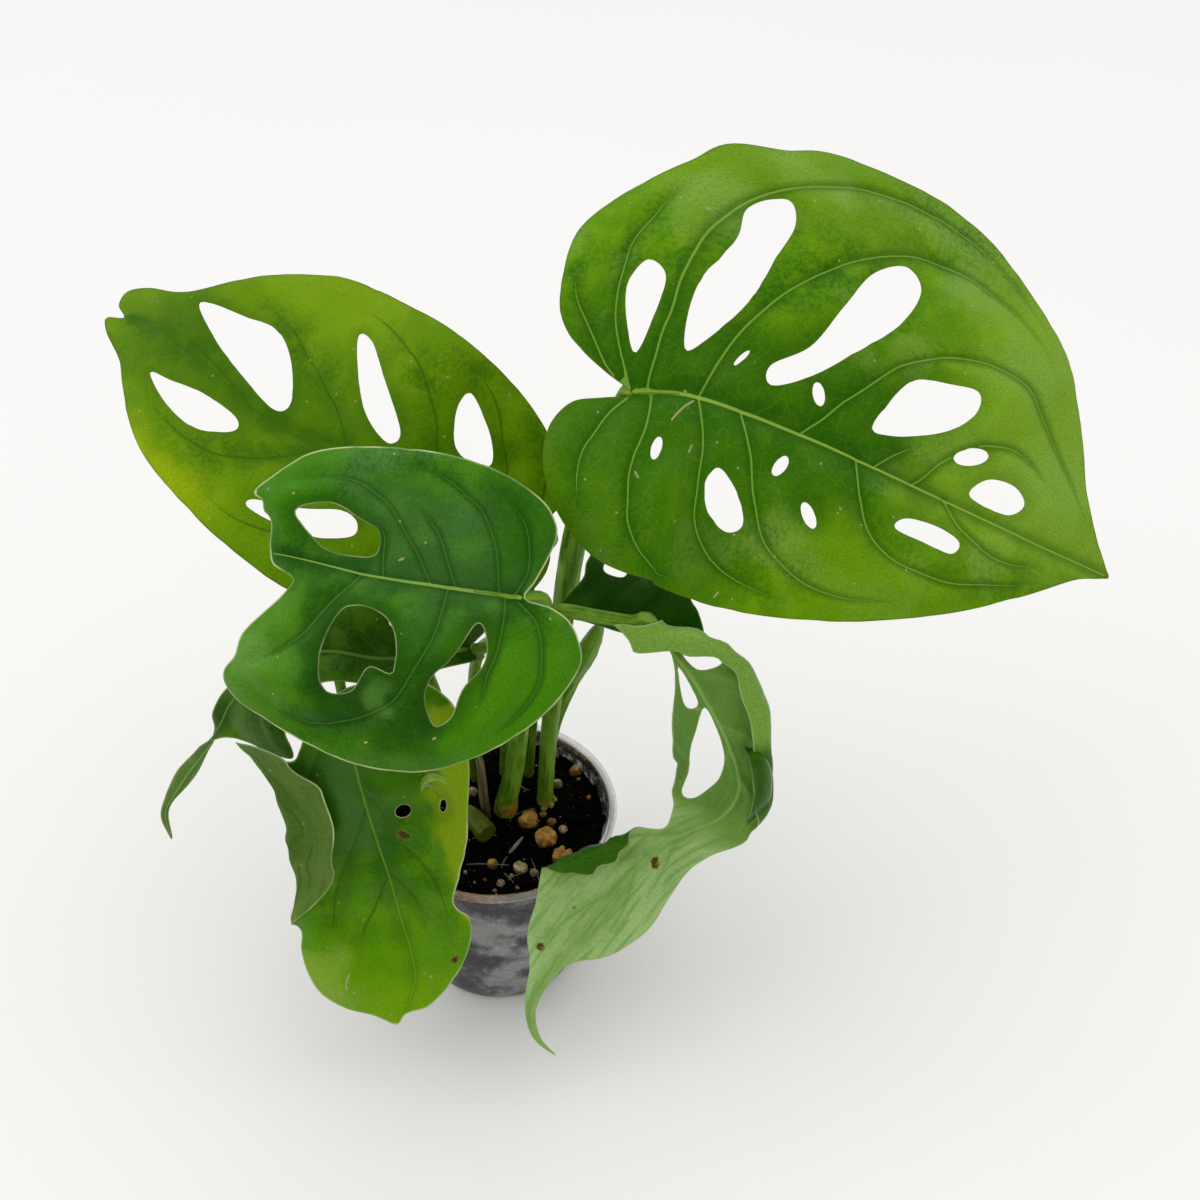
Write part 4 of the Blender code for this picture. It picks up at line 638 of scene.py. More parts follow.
def smooth_line(points, per_span, closed=False):
    """A Catmull-Rom line through the points, with per_span steps between two of them."""
    points = np.asarray(points, float)
    if closed:
        points = np.vstack([points[-1:], points, points[:2]])
    else:
        points = np.vstack([2 * points[0] - points[1], points, 2 * points[-1] - points[-2]])
    u = np.arange(per_span)[:, None] / per_span
    spans = []
    for a, b, c, d in zip(points, points[1:], points[2:], points[3:]):
        bend = (2 * a - 5 * b + 4 * c - d) * u**2 + (3 * b - a - 3 * c + d) * u**3
        spans.append(0.5 * (2 * b + (c - a) * u + bend))
    line = np.vstack(spans)
    return line if closed else np.vstack([line, points[-2]])


def even_line(points, step, closed=False):
    """The same line with its points about one step apart."""
    line = smooth_line(points, 12, closed)
    if closed:
        line = np.vstack([line, line[:1]])
    run = np.concatenate([[0], np.cumsum(np.linalg.norm(np.diff(line, axis=0), axis=1))])
    count = max(6, round(run[-1] / step))
    places = np.linspace(0, run[-1], count + 1)
    even = np.stack([np.interp(places, run, line[:, i]) for i in range(line.shape[1])], axis=1)
    return even[:-1] if closed else even


def eased(stations, s):
    """The stations' values at s, easing in and out between two stations."""
    stations = np.array(stations, float)
    at = np.clip(np.searchsorted(stations[:, 0], s) - 1, 0, len(stations) - 2)
    u = np.clip((s - stations[at, 0]) / (stations[at + 1, 0] - stations[at, 0]), 0, 1)
    u = (3 - 2 * u) * u * u
    return stations[at, 1:] + (stations[at + 1, 1:] - stations[at, 1:]) * u[..., None]


def unit(vectors):
    return vectors / np.linalg.norm(vectors, axis=-1, keepdims=True)


class Midrib:
    """The midrib's line in space, measured from the foot of the blade."""

    def __init__(self, points, calm):
        self.line = smooth_line(points, 24)
        steps = np.linalg.norm(np.diff(self.line, axis=0), axis=1)
        self.run = np.concatenate([[0], np.cumsum(steps)])
        self.length = self.run[-1]
        self.way = unit(np.gradient(self.line, self.run, axis=0))
        self.calm = calm

    def point(self, s):
        """The point at s, going straight on past either end."""
        on = np.clip(s, 0, self.length)
        point = np.stack([np.interp(on, self.run, self.line[:, i]) for i in range(3)], -1)
        way = np.stack([np.interp(on, self.run, self.way[:, i]) for i in range(3)], -1)
        return point + (s - on)[..., None] * unit(way)

    def heading(self, s):
        """The direction there, evened out over a stretch so that the halves of a bent blade don't cross."""
        return unit(self.point(s + self.calm) - self.point(s - self.calm))


def half_section(leaf, s, w):
    """How far across and how high a point of the blade lies: straight, then bent, then straight again."""
    sides = np.where((w > 0)[..., None], eased(leaf["right"], s), eased(leaf["left"], s))
    fold, straight, radius, turn = np.moveaxis(sides, -1, 0)
    fold, turn = np.radians(fold), np.radians(turn)
    bend = np.where(turn < 0, -1, 1) / radius
    reach = radius * np.abs(turn)
    first = np.minimum(np.abs(w), straight)
    middle = np.clip(np.abs(w) - straight, 0, reach)
    last = np.maximum(np.abs(w) - straight - reach, 0)
    across = first * np.cos(fold) + last * np.cos(fold + turn)
    across += (np.sin(fold + bend * middle) - np.sin(fold)) / bend
    high = first * np.sin(fold) + last * np.sin(fold + turn)
    high += (np.cos(fold) - np.cos(fold + bend * middle)) / bend
    for wave_s, wave_w, size, height in leaf["waves"]:
        high = high + height * np.exp(-((s - wave_s) ** 2 + (w - wave_w) ** 2) / size**2)
    return np.sign(w) * across, high


def frame_at(leaf, rib, s):
    """The blade's sideways and upward directions at s."""
    heading = rib.heading(s)
    face = np.array(leaf["face"], float)
    up = unit(face - (heading @ face)[..., None] * heading)
    side = np.cross(heading, up)
    roll = np.radians(eased(leaf["roll"], s))
    return side * np.cos(roll) + up * np.sin(roll), up * np.cos(roll) - side * np.sin(roll)


def bent(leaf, flat):
    """Points of the flat drawing laid on the leaf's midrib in space."""
    rib = Midrib(leaf["rib"], leaf["calm"])
    s, w = flat[:, 0], flat[:, 1]
    side, up = frame_at(leaf, rib, s)
    across, high = half_section(leaf, s, w)
    return rib.point(s) + across[:, None] * side + high[:, None] * up


def round_steps(count):
    """Even angles once round."""
    return np.linspace(0, 2 * math.pi, count, endpoint=False)


def oval(s, w, half_length, half_width, turn):
    angles = round_steps(12)
    x, y = half_length * np.cos(angles), half_width * np.sin(angles)
    c, d = math.cos(math.radians(turn)), math.sin(math.radians(turn))
    return np.stack([s + x * c - y * d, w + x * d + y * c], axis=1)


def inside(points, ring):
    """Which points lie inside the ring."""
    found = np.zeros(len(points), bool)
    x, y = points[:, 0], points[:, 1]
    for (x0, y0), (x1, y1) in zip(ring, np.roll(ring, -1, axis=0)):
        if y0 == y1:
            continue
        crosses = (y0 > y) != (y1 > y)
        found ^= crosses & (x < (x1 - x0) * (y - y0) / (y1 - y0) + x0)
    return found


def near(points, line, closed=False):
    """How far each point is from the line, and how far along the line that is, from 0 to 1."""
    line = np.asarray(line, float)
    ends = np.roll(line, -1, axis=0) if closed else line[1:]
    best, share = np.full(len(points), 1e9), np.zeros(len(points))
    for number, (a, b) in enumerate(zip(line, ends)):
        way = b - a
        u = np.clip(((points - a) @ way) / max(way @ way, 1e-12), 0, 1)
        away = np.linalg.norm(points - a - u[:, None] * way, axis=1)
        share = np.where(away < best, (number + u) / len(ends), share)
        best = np.minimum(best, away)
    return best, share


def near_spots(points, spots):
    """How far each point is from the rim of the nearest round spot, below 0 inside it."""
    away = [np.linalg.norm(points - spot[:2], axis=1) - spot[2] for spot in spots]
    return np.min(away, axis=0) if away else np.full(len(points), FAR)


def bell(distance, width):
    return np.exp(-((distance / width) ** 2))


def midrib_way(name, s):
    """The midrib in the flat drawing."""
    drift = DRIFTS.get(name, LEVEL)
    return np.stack([s, np.interp(s, *np.transpose(drift))], axis=1)


def fold_rows(leaf, low, high):
    """Rows of points along each sharp fold."""
    rows = []
    for sign, side in ((1, "right"), (-1, "left")):
        for s in np.arange(low, high, SHEET_STEP):
            straight, radius, turn = eased(leaf[side], np.array([s]))[0, 1:]
            reach = radius * abs(math.radians(turn))
            if radius < 5 and reach > 1:
                rows += [(s, sign * (straight + reach * i / (FOLD_ROWS - 1))) for i in range(FOLD_ROWS)]
    return rows


def clear_points(found, taken, clear):
    """Those of the found points that keep clear of all that are taken."""
    tree = KDTree(len(taken))
    for number, (s, w) in enumerate(taken):
        tree.insert((s, w, 0), number)
    tree.balance()
    return [p for p in found if tree.find((p[0], p[1], 0))[2] > clear]


def nibbled(line, depth, size):
    """The closed line with small dents towards its middle."""
    dents = np.clip(noises(line, size, SEED) + 0.4 * noises(line, 0.4 * size, SEED), 0, 1)
    return line + unit(line.mean(axis=0) - line) * (depth * dents)[:, None]


def wandering(line, amount=0.3, size=6.0):
    """The line with a slight waver, still at its first point."""
    waver = np.stack([noises(line, size, SEED), noises(line, size, SEED + 3)], axis=1)
    return line + amount * (waver - waver[0])


def laid_rings(rings):
    """The rings' points in one list, and the edges between them."""
    points, edges = [], []
    for ring in rings:
        first = len(points)
        points += [tuple(p) for p in ring]
        edges += [(first + i, first + (i + 1) % len(ring)) for i in range(len(ring))]
    return points, edges


def filled(points, edges, outline, holes):
    """Triangles inside the outline and outside the holes, all the same way round."""
    flat, _, faces, _, _, _ = delaunay_2d_cdt([Vector(p) for p in points], edges, [], 0, MERGE_DISTANCE)
    flat = np.array([tuple(p) for p in flat])
    faces = np.array([face for face in faces if len(face) == 3])
    middles = flat[faces].mean(axis=1)
    keep = inside(middles, outline)
    for hole in holes:
        keep &= ~inside(middles, hole)
    used, faces = np.unique(faces[keep], return_inverse=True)
    flat, faces = flat[used], faces.reshape(-1, 3)
    a, b, c = np.moveaxis(flat[faces], 1, 0)
    over = np.cross(b - a, c - a) < 0
    faces[over] = faces[over][:, ::-1]
    return flat, faces


def fine_sheet(name, leaf, rib_length):
    """Triangles of the flat drawing, with margin, holes, midrib, veins and scars as edges."""
    margin = nibbled(even_line(leaf["margin"], MARGIN_STEP, closed=True), 0.35, 7)
    holes = [even_line(ring, HOLE_STEP, closed=True) for ring in leaf["holes"]]
    holes += [even_line(oval(*shape), 0.7 * HOLE_STEP, closed=True) for shape in leaf["ovals"]]
    holes = [nibbled(ring, 0.25, 3) for ring in holes]
    spine = midrib_way(name, np.arange(RIB_CLEAR, rib_length - RIB_CLEAR, VEIN_STEP))
    veins = [wandering(even_line(line, VEIN_STEP)) for line in VEINS[name]]
    scars = [even_line(line, 0.5 * VEIN_STEP) for line in SCARS.get(name, [])]
    points, edges = laid_rings([margin, *holes])
    rings = list(points)
    for line in (spine, *veins, *scars):
        kept = {tuple(p) for p in clear_points([tuple(p) for p in line], rings, LINE_CLEAR)}
        last = None
        for point in map(tuple, line):
            if point in kept:
                points.append(point)
                if last is not None:
                    edges.append((len(points) - 2, len(points) - 1))
            last = point if point in kept else None
    beside = [(s, w + d) for s, w in spine for d in (-1.1, -0.5, 0.5, 1.1)]
    points += clear_points(beside, points, LINE_CLEAR)
    low, high = margin.min(axis=0) - SHEET_STEP, margin.max(axis=0) + SHEET_STEP
    points += clear_points(fold_rows(leaf, low[0], high[0]), points, LINE_CLEAR + 0.05)
    rise = SHEET_STEP * math.sqrt(3) / 2
    grid = [
        (s + (row % 2) * SHEET_STEP / 2, row * rise)
        for row in range(math.floor(low[1] / rise), math.ceil(high[1] / rise) + 1)
        for s in np.arange(low[0], high[0], SHEET_STEP)
    ]
    grid = np.array(clear_points(grid, points, 0.55 * SHEET_STEP))
    points += [tuple(p) for p in grid[inside(grid, margin)]]
    flat, faces = filled(points, edges, margin, holes)
    return flat, faces[:, ::-1], margin, holes, spine, veins, scars


def point_normals(points, faces):
    a, b, c = np.moveaxis(points[faces], 1, 0)
    across = np.cross(b - a, c - a)
    sums = np.zeros_like(points)
    for corner in range(3):
        np.add.at(sums, faces[:, corner], across)
    return unit(sums + 1e-12)


def noises(places, size, seed):
    """Smooth noise between about -1 and 1 at each place."""
    return np.array([noise.noise(Vector((*p, 0)[:3]) / size + Vector((seed, seed, seed))) for p in places])


def new_mesh(name, points, faces, sharp=60, weld=False):
    """A smooth mesh, with points that lie on each other made one."""
    mesh = bpy.data.meshes.new(name)
    mesh.from_pydata([tuple(p) for p in np.asarray(points) * MM], [], [list(map(int, f)) for f in faces])
    if weld:
        shape = bmesh.new()
        shape.from_mesh(mesh)
        bmesh.ops.remove_doubles(shape, verts=shape.verts, dist=1e-3 * MM)
        shape.to_mesh(mesh)
        shape.free()
    mesh.shade_smooth()
    mesh.set_sharp_from_angle(angle=math.radians(sharp))
    return mesh


def keep_values(mesh, **values):
    """Named values at the mesh's points, for its materials."""
    for name, array in values.items():
        kind, field = ("FLOAT_VECTOR", "vector") if array.ndim == 2 else ("FLOAT", "value")
        made = mesh.attributes.new(name, kind, "POINT")
        made.data.foreach_set(field, np.asarray(array, np.float32).ravel())


def show(name, mesh, slot, finishes, *nodes):
    """The piece in the scene, riding on the root in place of the solids named."""
    made = bpy.data.objects.new(name, mesh)
    bpy.context.scene.collection.objects.link(made)
    for finish in finishes:
        mesh.materials.append(finish)
    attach(made, "root")
    for node in nodes:
        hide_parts(node)


def two_sided(name, top, under, faces):
    """A mesh of two sheets with walls between their open sides. The lower sheet has the second material."""
    count = len(top)
    walls = [(b, a, a + count, b + count) for a, b in open_sides(faces)]
    mesh = new_mesh(name, np.vstack([top, under]), [*faces, *(faces[:, ::-1] + count), *walls])
    indices = np.zeros(len(mesh.polygons), np.int32)
    indices[len(faces) : 2 * len(faces)] = 1
    mesh.polygons.foreach_set("material_index", indices)
    return mesh


def open_sides(faces):
    """The sides that belong to one face only."""
    sides = dict.fromkeys((a, b) for face in faces.tolist() for a, b in zip(face, face[1:] + face[:1]))
    return [(a, b) for a, b in sides if (b, a) not in sides]


def keep_both(mesh, **values):
    """Named values for the points of both sheets of a mesh."""
    keep_values(mesh, **{key: np.concatenate([array, array]) for key, array in values.items()})


def add_leaf(name, slot, finishes):
    leaf, look = LEAVES[name], LOOKS[name]
    rib = Midrib(leaf["rib"], leaf["calm"])
    flat, faces, margin, holes, spine, veins, scars = fine_sheet(name, leaf, rib.length)
    outer = near(flat, margin, closed=True)[0]
    rims = np.min([outer + FAR, *(near(flat, ring, closed=True)[0] for ring in holes)], axis=0)
    edge = np.minimum(outer, rims)
    rib_away, rib_share = near(flat, spine)
    taper = 1 - 0.72 * rib_share
    veins_away, veins_line = [], []
    for away, share in (near(flat, line) for line in veins):
        fade = 2.5 * np.clip((share - 0.6) / 0.4, 0, 1) ** 2
        veins_away.append(away + fade)
        veins_line.append(away / (0.34 - 0.2 * share) + 0.6 * fade)
    vein_away = np.min(veins_away, axis=0)
    scar = np.min([edge + FAR, *(near(flat, line)[0] for line in scars)], axis=0)
    nearest = np.minimum(vein_away, 0.7 * rib_away)
    relief = look["quilt"] * (1 - bell(nearest, QUILT_REACH)) - look["groove"] * bell(vein_away, GROOVE_REACH)
    relief -= look["valley"] * taper * bell(rib_away, VALLEY_REACH)
    relief += look["crumple"] * (0.3 * noises(flat, 8, SEED) + 0.1 * noises(flat, 2.6, SEED))
    relief *= 1 - bell(edge, LEVEL_MARGIN)
    upper = -1 if look.get("turned") else 1
    surface = bent(leaf, flat)
    surface += upper * relief[:, None] * point_normals(surface, faces)
    normals = upper * point_normals(surface, faces)
    half = (EDGE_THICKNESS + (BLADE_THICKNESS - EDGE_THICKNESS) * (1 - bell(edge, 0.9))) / 2
    ridge = look["ridge"] * taper * bell(rib_away, look["ridge"] * taper) + 0.22 * bell(vein_away, 0.45)
    ridge *= 1 - bell(edge, 1)
    crest = 0.16 * taper * bell(rib_away, 0.5)
    mesh = two_sided(
        "leaf_" + name,
        surface + normals * (half + crest)[:, None],
        surface - normals * (half + ridge)[:, None],
        faces[:, ::-1] if upper < 0 else faces,
    )
    keep_both(
        mesh, flat=np.column_stack([flat, np.zeros(len(flat))]), vein=vein_away,
        vein_line=np.min(veins_line, axis=0),
        rib=rib_away, rib_line=rib_away / (0.5 * taper**1.4 + 0.06), edge=outer, hole=rims, scar=scar,
        burn=near_spots(flat, BURNS.get(name, [])),
    )
    show("leaf_" + name, mesh, slot, finishes, "blade_" + name)


def add_lobe(finishes):
    """The rolled lobe of the twisted blade's margin: a lens-shaped sheet between three lines."""
    rows, columns = 40, 14
    lines = []
    for line in LOBE:
        line = even_line(line, 0.1)
        at = np.linspace(0, len(line) - 1, rows)
        places = np.arange(len(line))
        lines.append(np.stack([np.interp(at, places, line[:, i]) for i in range(3)], axis=1)[:, None])
    outer, crown, inner = lines
    u = np.linspace(0, 1, columns)[None, :, None]
    sheet = (1 - u) * (1 - 2 * u) * outer + 4 * u * (1 - u) * crown + u * (2 * u - 1) * inner
    sheet = sheet.reshape(-1, 3)
    sheet += 0.12 * noises(sheet, 2.5, SEED)[:, None] * np.array([0.4, -0.8, 0.4])
    firsts = [row * columns + column for row in range(rows - 1) for column in range(columns - 1)]
    faces = []
    for a in firsts:
        faces += [(a, a + 1, a + columns + 1), (a, a + columns + 1, a + columns)]
    faces = np.array(faces)
    normals = point_normals(sheet, faces)
    if (normals @ np.array([0, -0.75, 0.65])).mean() < 0:
        faces, normals = faces[:, ::-1], -normals
    row, column = np.divmod(np.arange(len(sheet)), columns)
    edge = np.minimum(column, columns - 1 - column) * 0.35
    thick = normals * (EDGE_THICKNESS / 2 + 0.1 * (1 - bell(edge, 0.8)))[:, None]
    mesh = two_sided("rolled_lobe", sheet + thick, sheet - thick, faces)
    flat = np.stack([60 + row / rows * 18, 12 + 0.35 * column, 0 * row], axis=1)
    far = np.full(len(sheet), FAR)
    # The fold is kept as a vein, so the vein's painted shade darkens the sheet along it.
    fold = near(flat[:, :2], [(60, 15), (78, 15)])[0]
    keep_both(
        mesh, flat=flat, vein=fold, vein_line=far, rib=far, rib_line=far * 3, edge=edge, hole=far, scar=far,
        burn=far,
    )
    show("rolled_lobe", mesh, LEAF_SLOTS["twisted"], finishes)


def add_curl(finish):
    """The hanging blade's torn strip, curled up beside its hole."""
    line = even_line(CURL, 0.5)
    leaf = LEAVES["hanging"]
    _, up = frame_at(leaf, Midrib(leaf["rib"], leaf["calm"]), line[:, 0])
    places = bent(leaf, line[:, :2]) + up * line[:, 2:3]
    mesh = stalk_mesh("torn_curl", np.hstack([places, line[:, 3:]]), around=14, roughness=0.08)
    show("torn_curl", mesh, LEAF_SLOTS["hanging"], [finish])


def add_feet(finish):
    """What is left of old leaf sheaths round the feet of two petioles."""
    parts = []
    for x, y, radius, low, high, slant in SHEATHS:
        points = []
        for angle in round_steps(SHEATH_STEPS):
            ragged = 0.35 * noise.noise(Vector((math.cos(angle) * 2, math.sin(angle) * 2, radius)))
            top = high + slant * math.cos(angle + 1.2) + ragged
            for out, up in SHEATH_SECTION:
                r = radius + out + 0.4 * ragged
                points.append((x + r * math.cos(angle), y + r * math.sin(angle), low + up * (top - low)))
        faces = woven(SHEATH_STEPS, len(SHEATH_SECTION), wrap_rows=True, wrap_size=True)
        parts.append((np.array(points), [(a, d, c, b) for a, b, c, d in faces]))
    draw = random.Random(SEED + 2)
    for x, y, z, radius in NUBS:
        parts.append(grain_points((x, y, z), radius, 3, 0.4, draw, 0.8))
    show("petiole_feet", new_mesh("petiole_feet", *joined(parts)), "petiole_green", [finish])


def woven(rows, size, wrap_rows=False, wrap_size=False):
    """Four-sided faces between neighbouring rows of points. Each row has the same size."""
    faces = []
    for row in range(rows if wrap_rows else rows - 1):
        a, b = row * size, (row + 1) % rows * size
        for k in range(size if wrap_size else size - 1):
            faces.append((a + k, a + (k + 1) % size, b + (k + 1) % size, b + k))
    return faces


def fan(ring, centre, order):
    """Triangles between a ring of point numbers and a centre point."""
    ring = list(ring)
    return [(a, b, centre)[::order] for a, b in zip(ring, ring[1:] + ring[:1])]


def ring_frames(line):
    """The directions across a line at each of its points, carried along it without a twist."""
    way = unit(np.gradient(line, axis=0))
    first = np.cross(way[0], (0.3, 1, 0.1))
    sides = [unit(first)]
    for heading in way[1:]:
        side = sides[-1] - (sides[-1] @ heading) * heading
        sides.append(unit(side))
    sides = np.array(sides)
    return sides, np.cross(way, sides)


def tube(line, around, section=None, roughness=0.03, seed=0.0):
    """A closed stem along x, y, z and radius.

    section(share, angles) gives what the radii of the ring at that share of the length are multiplied by.
    """
    line = np.asarray(line, float)
    side, up = ring_frames(line[:, :3])
    angles = round_steps(around)
    run = np.concatenate([[0], np.cumsum(np.linalg.norm(np.diff(line[:, :3], axis=0), axis=1))])
    points, flat = [], []
    for number, radius in enumerate(line[:, 3]):
        radii = np.full(around, radius)
        if section:
            radii = radii * section(run[number] / run[-1], angles)
        for angle, r in zip(angles, radii):
            where = Vector((run[number] / 6, math.cos(angle), math.sin(angle) + seed))
            r *= 1 + roughness * noise.noise(where * 1.7) + roughness * 0.5 * noise.noise(where * 5)
            across = math.cos(angle) * side[number] + math.sin(angle) * up[number]
            points.append(line[number, :3] + r * across)
            flat.append((run[number], 2 * math.cos(angle), 2 * math.sin(angle)))
    faces = woven(len(line), around, wrap_size=True)
    for row, order in ((0, -1), (len(line) - 1, 1)):
        faces += fan(range(row * around, (row + 1) * around), len(points), order)
        points.append(line[row, :3])
        flat.append((run[row], 0, 0))
    return np.array(points), faces, np.array(flat, float)


def stalk_mesh(name, line, around=20, **options):
    points, faces, flat = tube(line, around, **options)
    mesh = new_mesh(name, points, faces)
    keep_values(mesh, flat=flat)
    return mesh


def petiole_points(name):
    """The petiole's points, with a last stretch that runs up into the foot of its blade."""
    leaf = LEAVES[name]
    rib = Midrib(leaf["rib"], leaf["calm"])
    behind, below, end_radius = JOINTS[name]
    where = np.array([-behind, 0.4, 4.5, 9])
    _, up = frame_at(leaf, rib, where)
    depth = np.array([below, 0.62 + 0.5 * end_radius, 0.45, 0.2]) * (-1 if LOOKS[name].get("turned") else 1)
    ends = rib.point(where) - up * depth[:, None]
    radii = [(PETIOLES[name][-1][3] + end_radius) / 2, end_radius, 0.45 * end_radius, 0.16]
    return PETIOLES[name] + [(*end, radius) for end, radius in zip(ends, radii)]


def channelled(share, angles):
    """A petiole's section: a shallow channel along one side, and a swelling just under the blade."""
    swelling = 1 + 0.1 * math.exp(-(((share - 0.93) / 0.035) ** 2)) + 0.12 * math.exp(-((share / 0.12) ** 2))
    return swelling * (1 - 0.07 * np.exp(-(((np.cos(angles - 1.2) - 1) / 0.12) ** 2)))


def spiral(share, angles):
    """A rolled leaf's section: it shrinks round to an overlap, which winds along the leaf."""
    turn = np.mod(angles - 1.6 - 2.2 * share, 2 * math.pi) / (2 * math.pi)
    return 1.08 - 0.22 * turn + 0.02 * np.cos(9 * angles)


def wrinkled(share, angles):
    return 1 + 0.14 * np.cos(5 * angles + 7 * share) + 0.08 * np.cos(11 * angles - 3 * share)


def add_stalks(finishes):
    for number, name in enumerate(PETIOLES):
        line = even_line(petiole_points(name), 1.1)
        mesh = stalk_mesh("stalk_" + name, line, section=channelled, seed=number)
        show("stalk_" + name, mesh, "petiole_green", [finishes["petiole"]], "petiole_" + name)
    for name, slot, section in (
        ("rolled_young_leaf", "young_leaf_green", spiral),
        ("withered_petiole", "withered_brown", wrinkled),
        ("cut_petiole", "cut_petiole_green", channelled),
    ):
        line = even_line(OTHER_STEMS[name], 0.8)
        mesh = stalk_mesh("fine_" + name, line, around=40, section=section, seed=7)
        show("fine_" + name, mesh, slot, [finishes[name]], name)


def turned(profile, steps, capped=False):
    """A surface turned round +Z from a profile of (radius, height), which runs down on the outside.

    Its two ends stay open, or are closed on the axis.
    """
    points = []
    for i in range(steps):
        angle = 2 * math.pi * i / steps
        points += [(r * math.cos(angle), r * math.sin(angle), z) for r, z in profile]
    size = len(profile)
    faces = woven(steps, size, wrap_rows=True)
    if capped:
        for k, order in ((0, 1), (size - 1, -1)):
            faces += fan(range(k, steps * size, size), len(points), order)
            points.append((0, 0, profile[k][1]))
    return np.array(points), faces


def wall_radius(z):
    """The wall's outer radius at a height."""
    top = CUP_RIM_RADIUS - CUP_LIP_WIDTH
    return CUP_FOOT_RADIUS + (top - CUP_FOOT_RADIUS) * z / CUP_HEIGHT


def arc(r, z, radius, start, end, steps=7):
    """Profile points round a corner, in degrees from outwards, turning up."""
    angles = np.radians(np.linspace(start, end, steps))
    return [(r + radius * math.cos(a), z + radius * math.sin(a)) for a in angles]


def drilled_floor(radius):
    """The cup's floor as two discs with the drain holes between them."""
    rings = [circle(0, 0, radius, CUP_STEPS)]
    for turn in DRAIN_TURNS:
        turn = math.radians(turn)
        rings.append(circle(DRAIN_CIRCLE * math.cos(turn), DRAIN_CIRCLE * math.sin(turn), DRAIN_RADIUS, 24))
    points, edges = laid_rings(rings)
    grid = [(x, y) for x in np.arange(-11, 11.1, 2) for y in np.arange(-11, 11.1, 2) if math.hypot(x, y) < 11]
    points += clear_points(grid, points, 0.7)
    flat, faces = filled(points, edges, rings[0], rings[1:])
    count = len(flat)
    sides = [(a, b) for a, b in open_sides(faces) if np.hypot(*flat[a]) < radius - 0.1]
    walls = [(a, a + count, b + count, b) for a, b in sides]
    top, bottom = (np.column_stack([flat, np.full(count, z)]) for z in (CUP_FLOOR, CUP_FOOT_RISE))
    return np.vstack([top, bottom]), [*map(tuple, faces), *map(tuple, faces[:, ::-1] + count), *walls]


def circle(x, y, radius, steps):
    angles = round_steps(steps)
    return np.stack([x + radius * np.cos(angles), y + radius * np.sin(angles)], axis=1)


def add_cup(finish):
    lip_foot = CUP_HEIGHT - CUP_LIP_HEIGHT
    roll = CUP_LIP_HEIGHT / 2
    heights = np.linspace(lip_foot - 0.5, 1.2, 26)
    profile = [(FLOOR_DISC, CUP_FLOOR), (16.5, CUP_FLOOR)]
    profile += [(wall_radius(z) - CUP_WALL, z) for z in heights[::-1] if z > CUP_FLOOR + 0.9]
    profile += [(wall_radius(lip_foot + roll) - CUP_WALL, lip_foot + roll)]
    profile += arc(CUP_RIM_RADIUS - roll, lip_foot + roll, roll, 90, -80, 10)
    profile += [(wall_radius(z), z) for z in heights]
    profile += arc(CUP_FOOT_RADIUS - 0.9, 0.9, 0.9, -20, -90, 5)
    profile += [(r, CUP_FOOT_RISE) for r in (15.5, 14.5, FLOOR_DISC)]
    points, faces = joined([turned(profile, CUP_STEPS), drilled_floor(FLOOR_DISC)])
    mesh = new_mesh("clear_cup", points, faces, sharp=50, weld=True)
    show("clear_cup", mesh, "clear_plastic", [finish], "cup")


def soil_height(x, y):
    """The soil's surface: low lumps, a little lower beside the wall."""
    lumps = noise.noise(Vector((x / 4.5, y / 4.5, 4.5)))
    lumps += 0.5 * noise.noise(Vector((x / 1.7, y / 1.7, 1.7)))
    dip = max(0, math.hypot(x, y) - 19) * 0.12
    return SOIL_TOP + SOIL_RELIEF * lumps - dip


def ball(detail):
    """The points and faces of an even ball with a radius of 1."""
    shape = bmesh.new()
    bmesh.ops.create_icosphere(shape, subdivisions=detail, radius=1)
    points = [vert.co.copy() for vert in shape.verts]
    faces = [tuple(v.index for v in face.verts) for face in shape.faces]
    shape.free()
    return points, faces


def grain_points(centre, radius, detail, uneven, draw, flatness=1.0):
    """An uneven grain, turned at random."""
    rotation = Matrix.Rotation(draw.uniform(0, 6), 3, "Z") @ Matrix.Rotation(draw.uniform(0, 6), 3, "X")
    shift = Vector((draw.uniform(0, 90), draw.uniform(0, 90), 0))
    points, faces = ball(detail)
    grown = []
    for point in points:
        swell = 1 + uneven * (noise.noise(point * 1.3 + shift) + 0.5 * noise.noise(point * 3.1 + shift))
        place = rotation @ Vector((point.x, point.y * (0.6 + 0.4 * flatness), point.z * flatness))
        grown.append(tuple(Vector(centre) + place * radius * swell))
    return np.array(grown), faces


def joined(parts):
    """One list of points and faces out of several."""
    points, faces, first = [], [], 0
    for some, their_faces in parts:
        points.append(some)
        faces += [tuple(i + first for i in face) for face in their_faces]
        first += len(some)
    return np.vstack(points), faces


def soil_body():
    """The soil as one closed lump: rough on top, with small hollows in its sides."""
    shoulder = SOIL_TOP - 1.4
    profile = [(wall_radius(shoulder) * share, SOIL_TOP) for share in np.linspace(0.02, 0.955, 46)]
    profile += [(wall_radius(z) - (CUP_WALL + 0.25), z) for z in np.linspace(shoulder, 2.4, 60)]
    profile += [(CUP_FOOT_RADIUS - 3, 1.3), (0.3, 1.3)]
    points, faces = turned(profile, 220, capped=True)
    for point in points:
        x, y, z = point
        rough = noise.noise(Vector(point) / 1.1) + 0.7 * noise.noise(Vector(point) / 0.55)
        if z > SOIL_TOP - 1:
            point[2] = soil_height(x, y) + 0.32 * rough
        elif z > 1.4:
            hollow = max(0, noise.noise(Vector(point) / 2.2) + 0.3 * rough)
            point[:2] *= 1 - 0.035 * hollow
    return points, faces


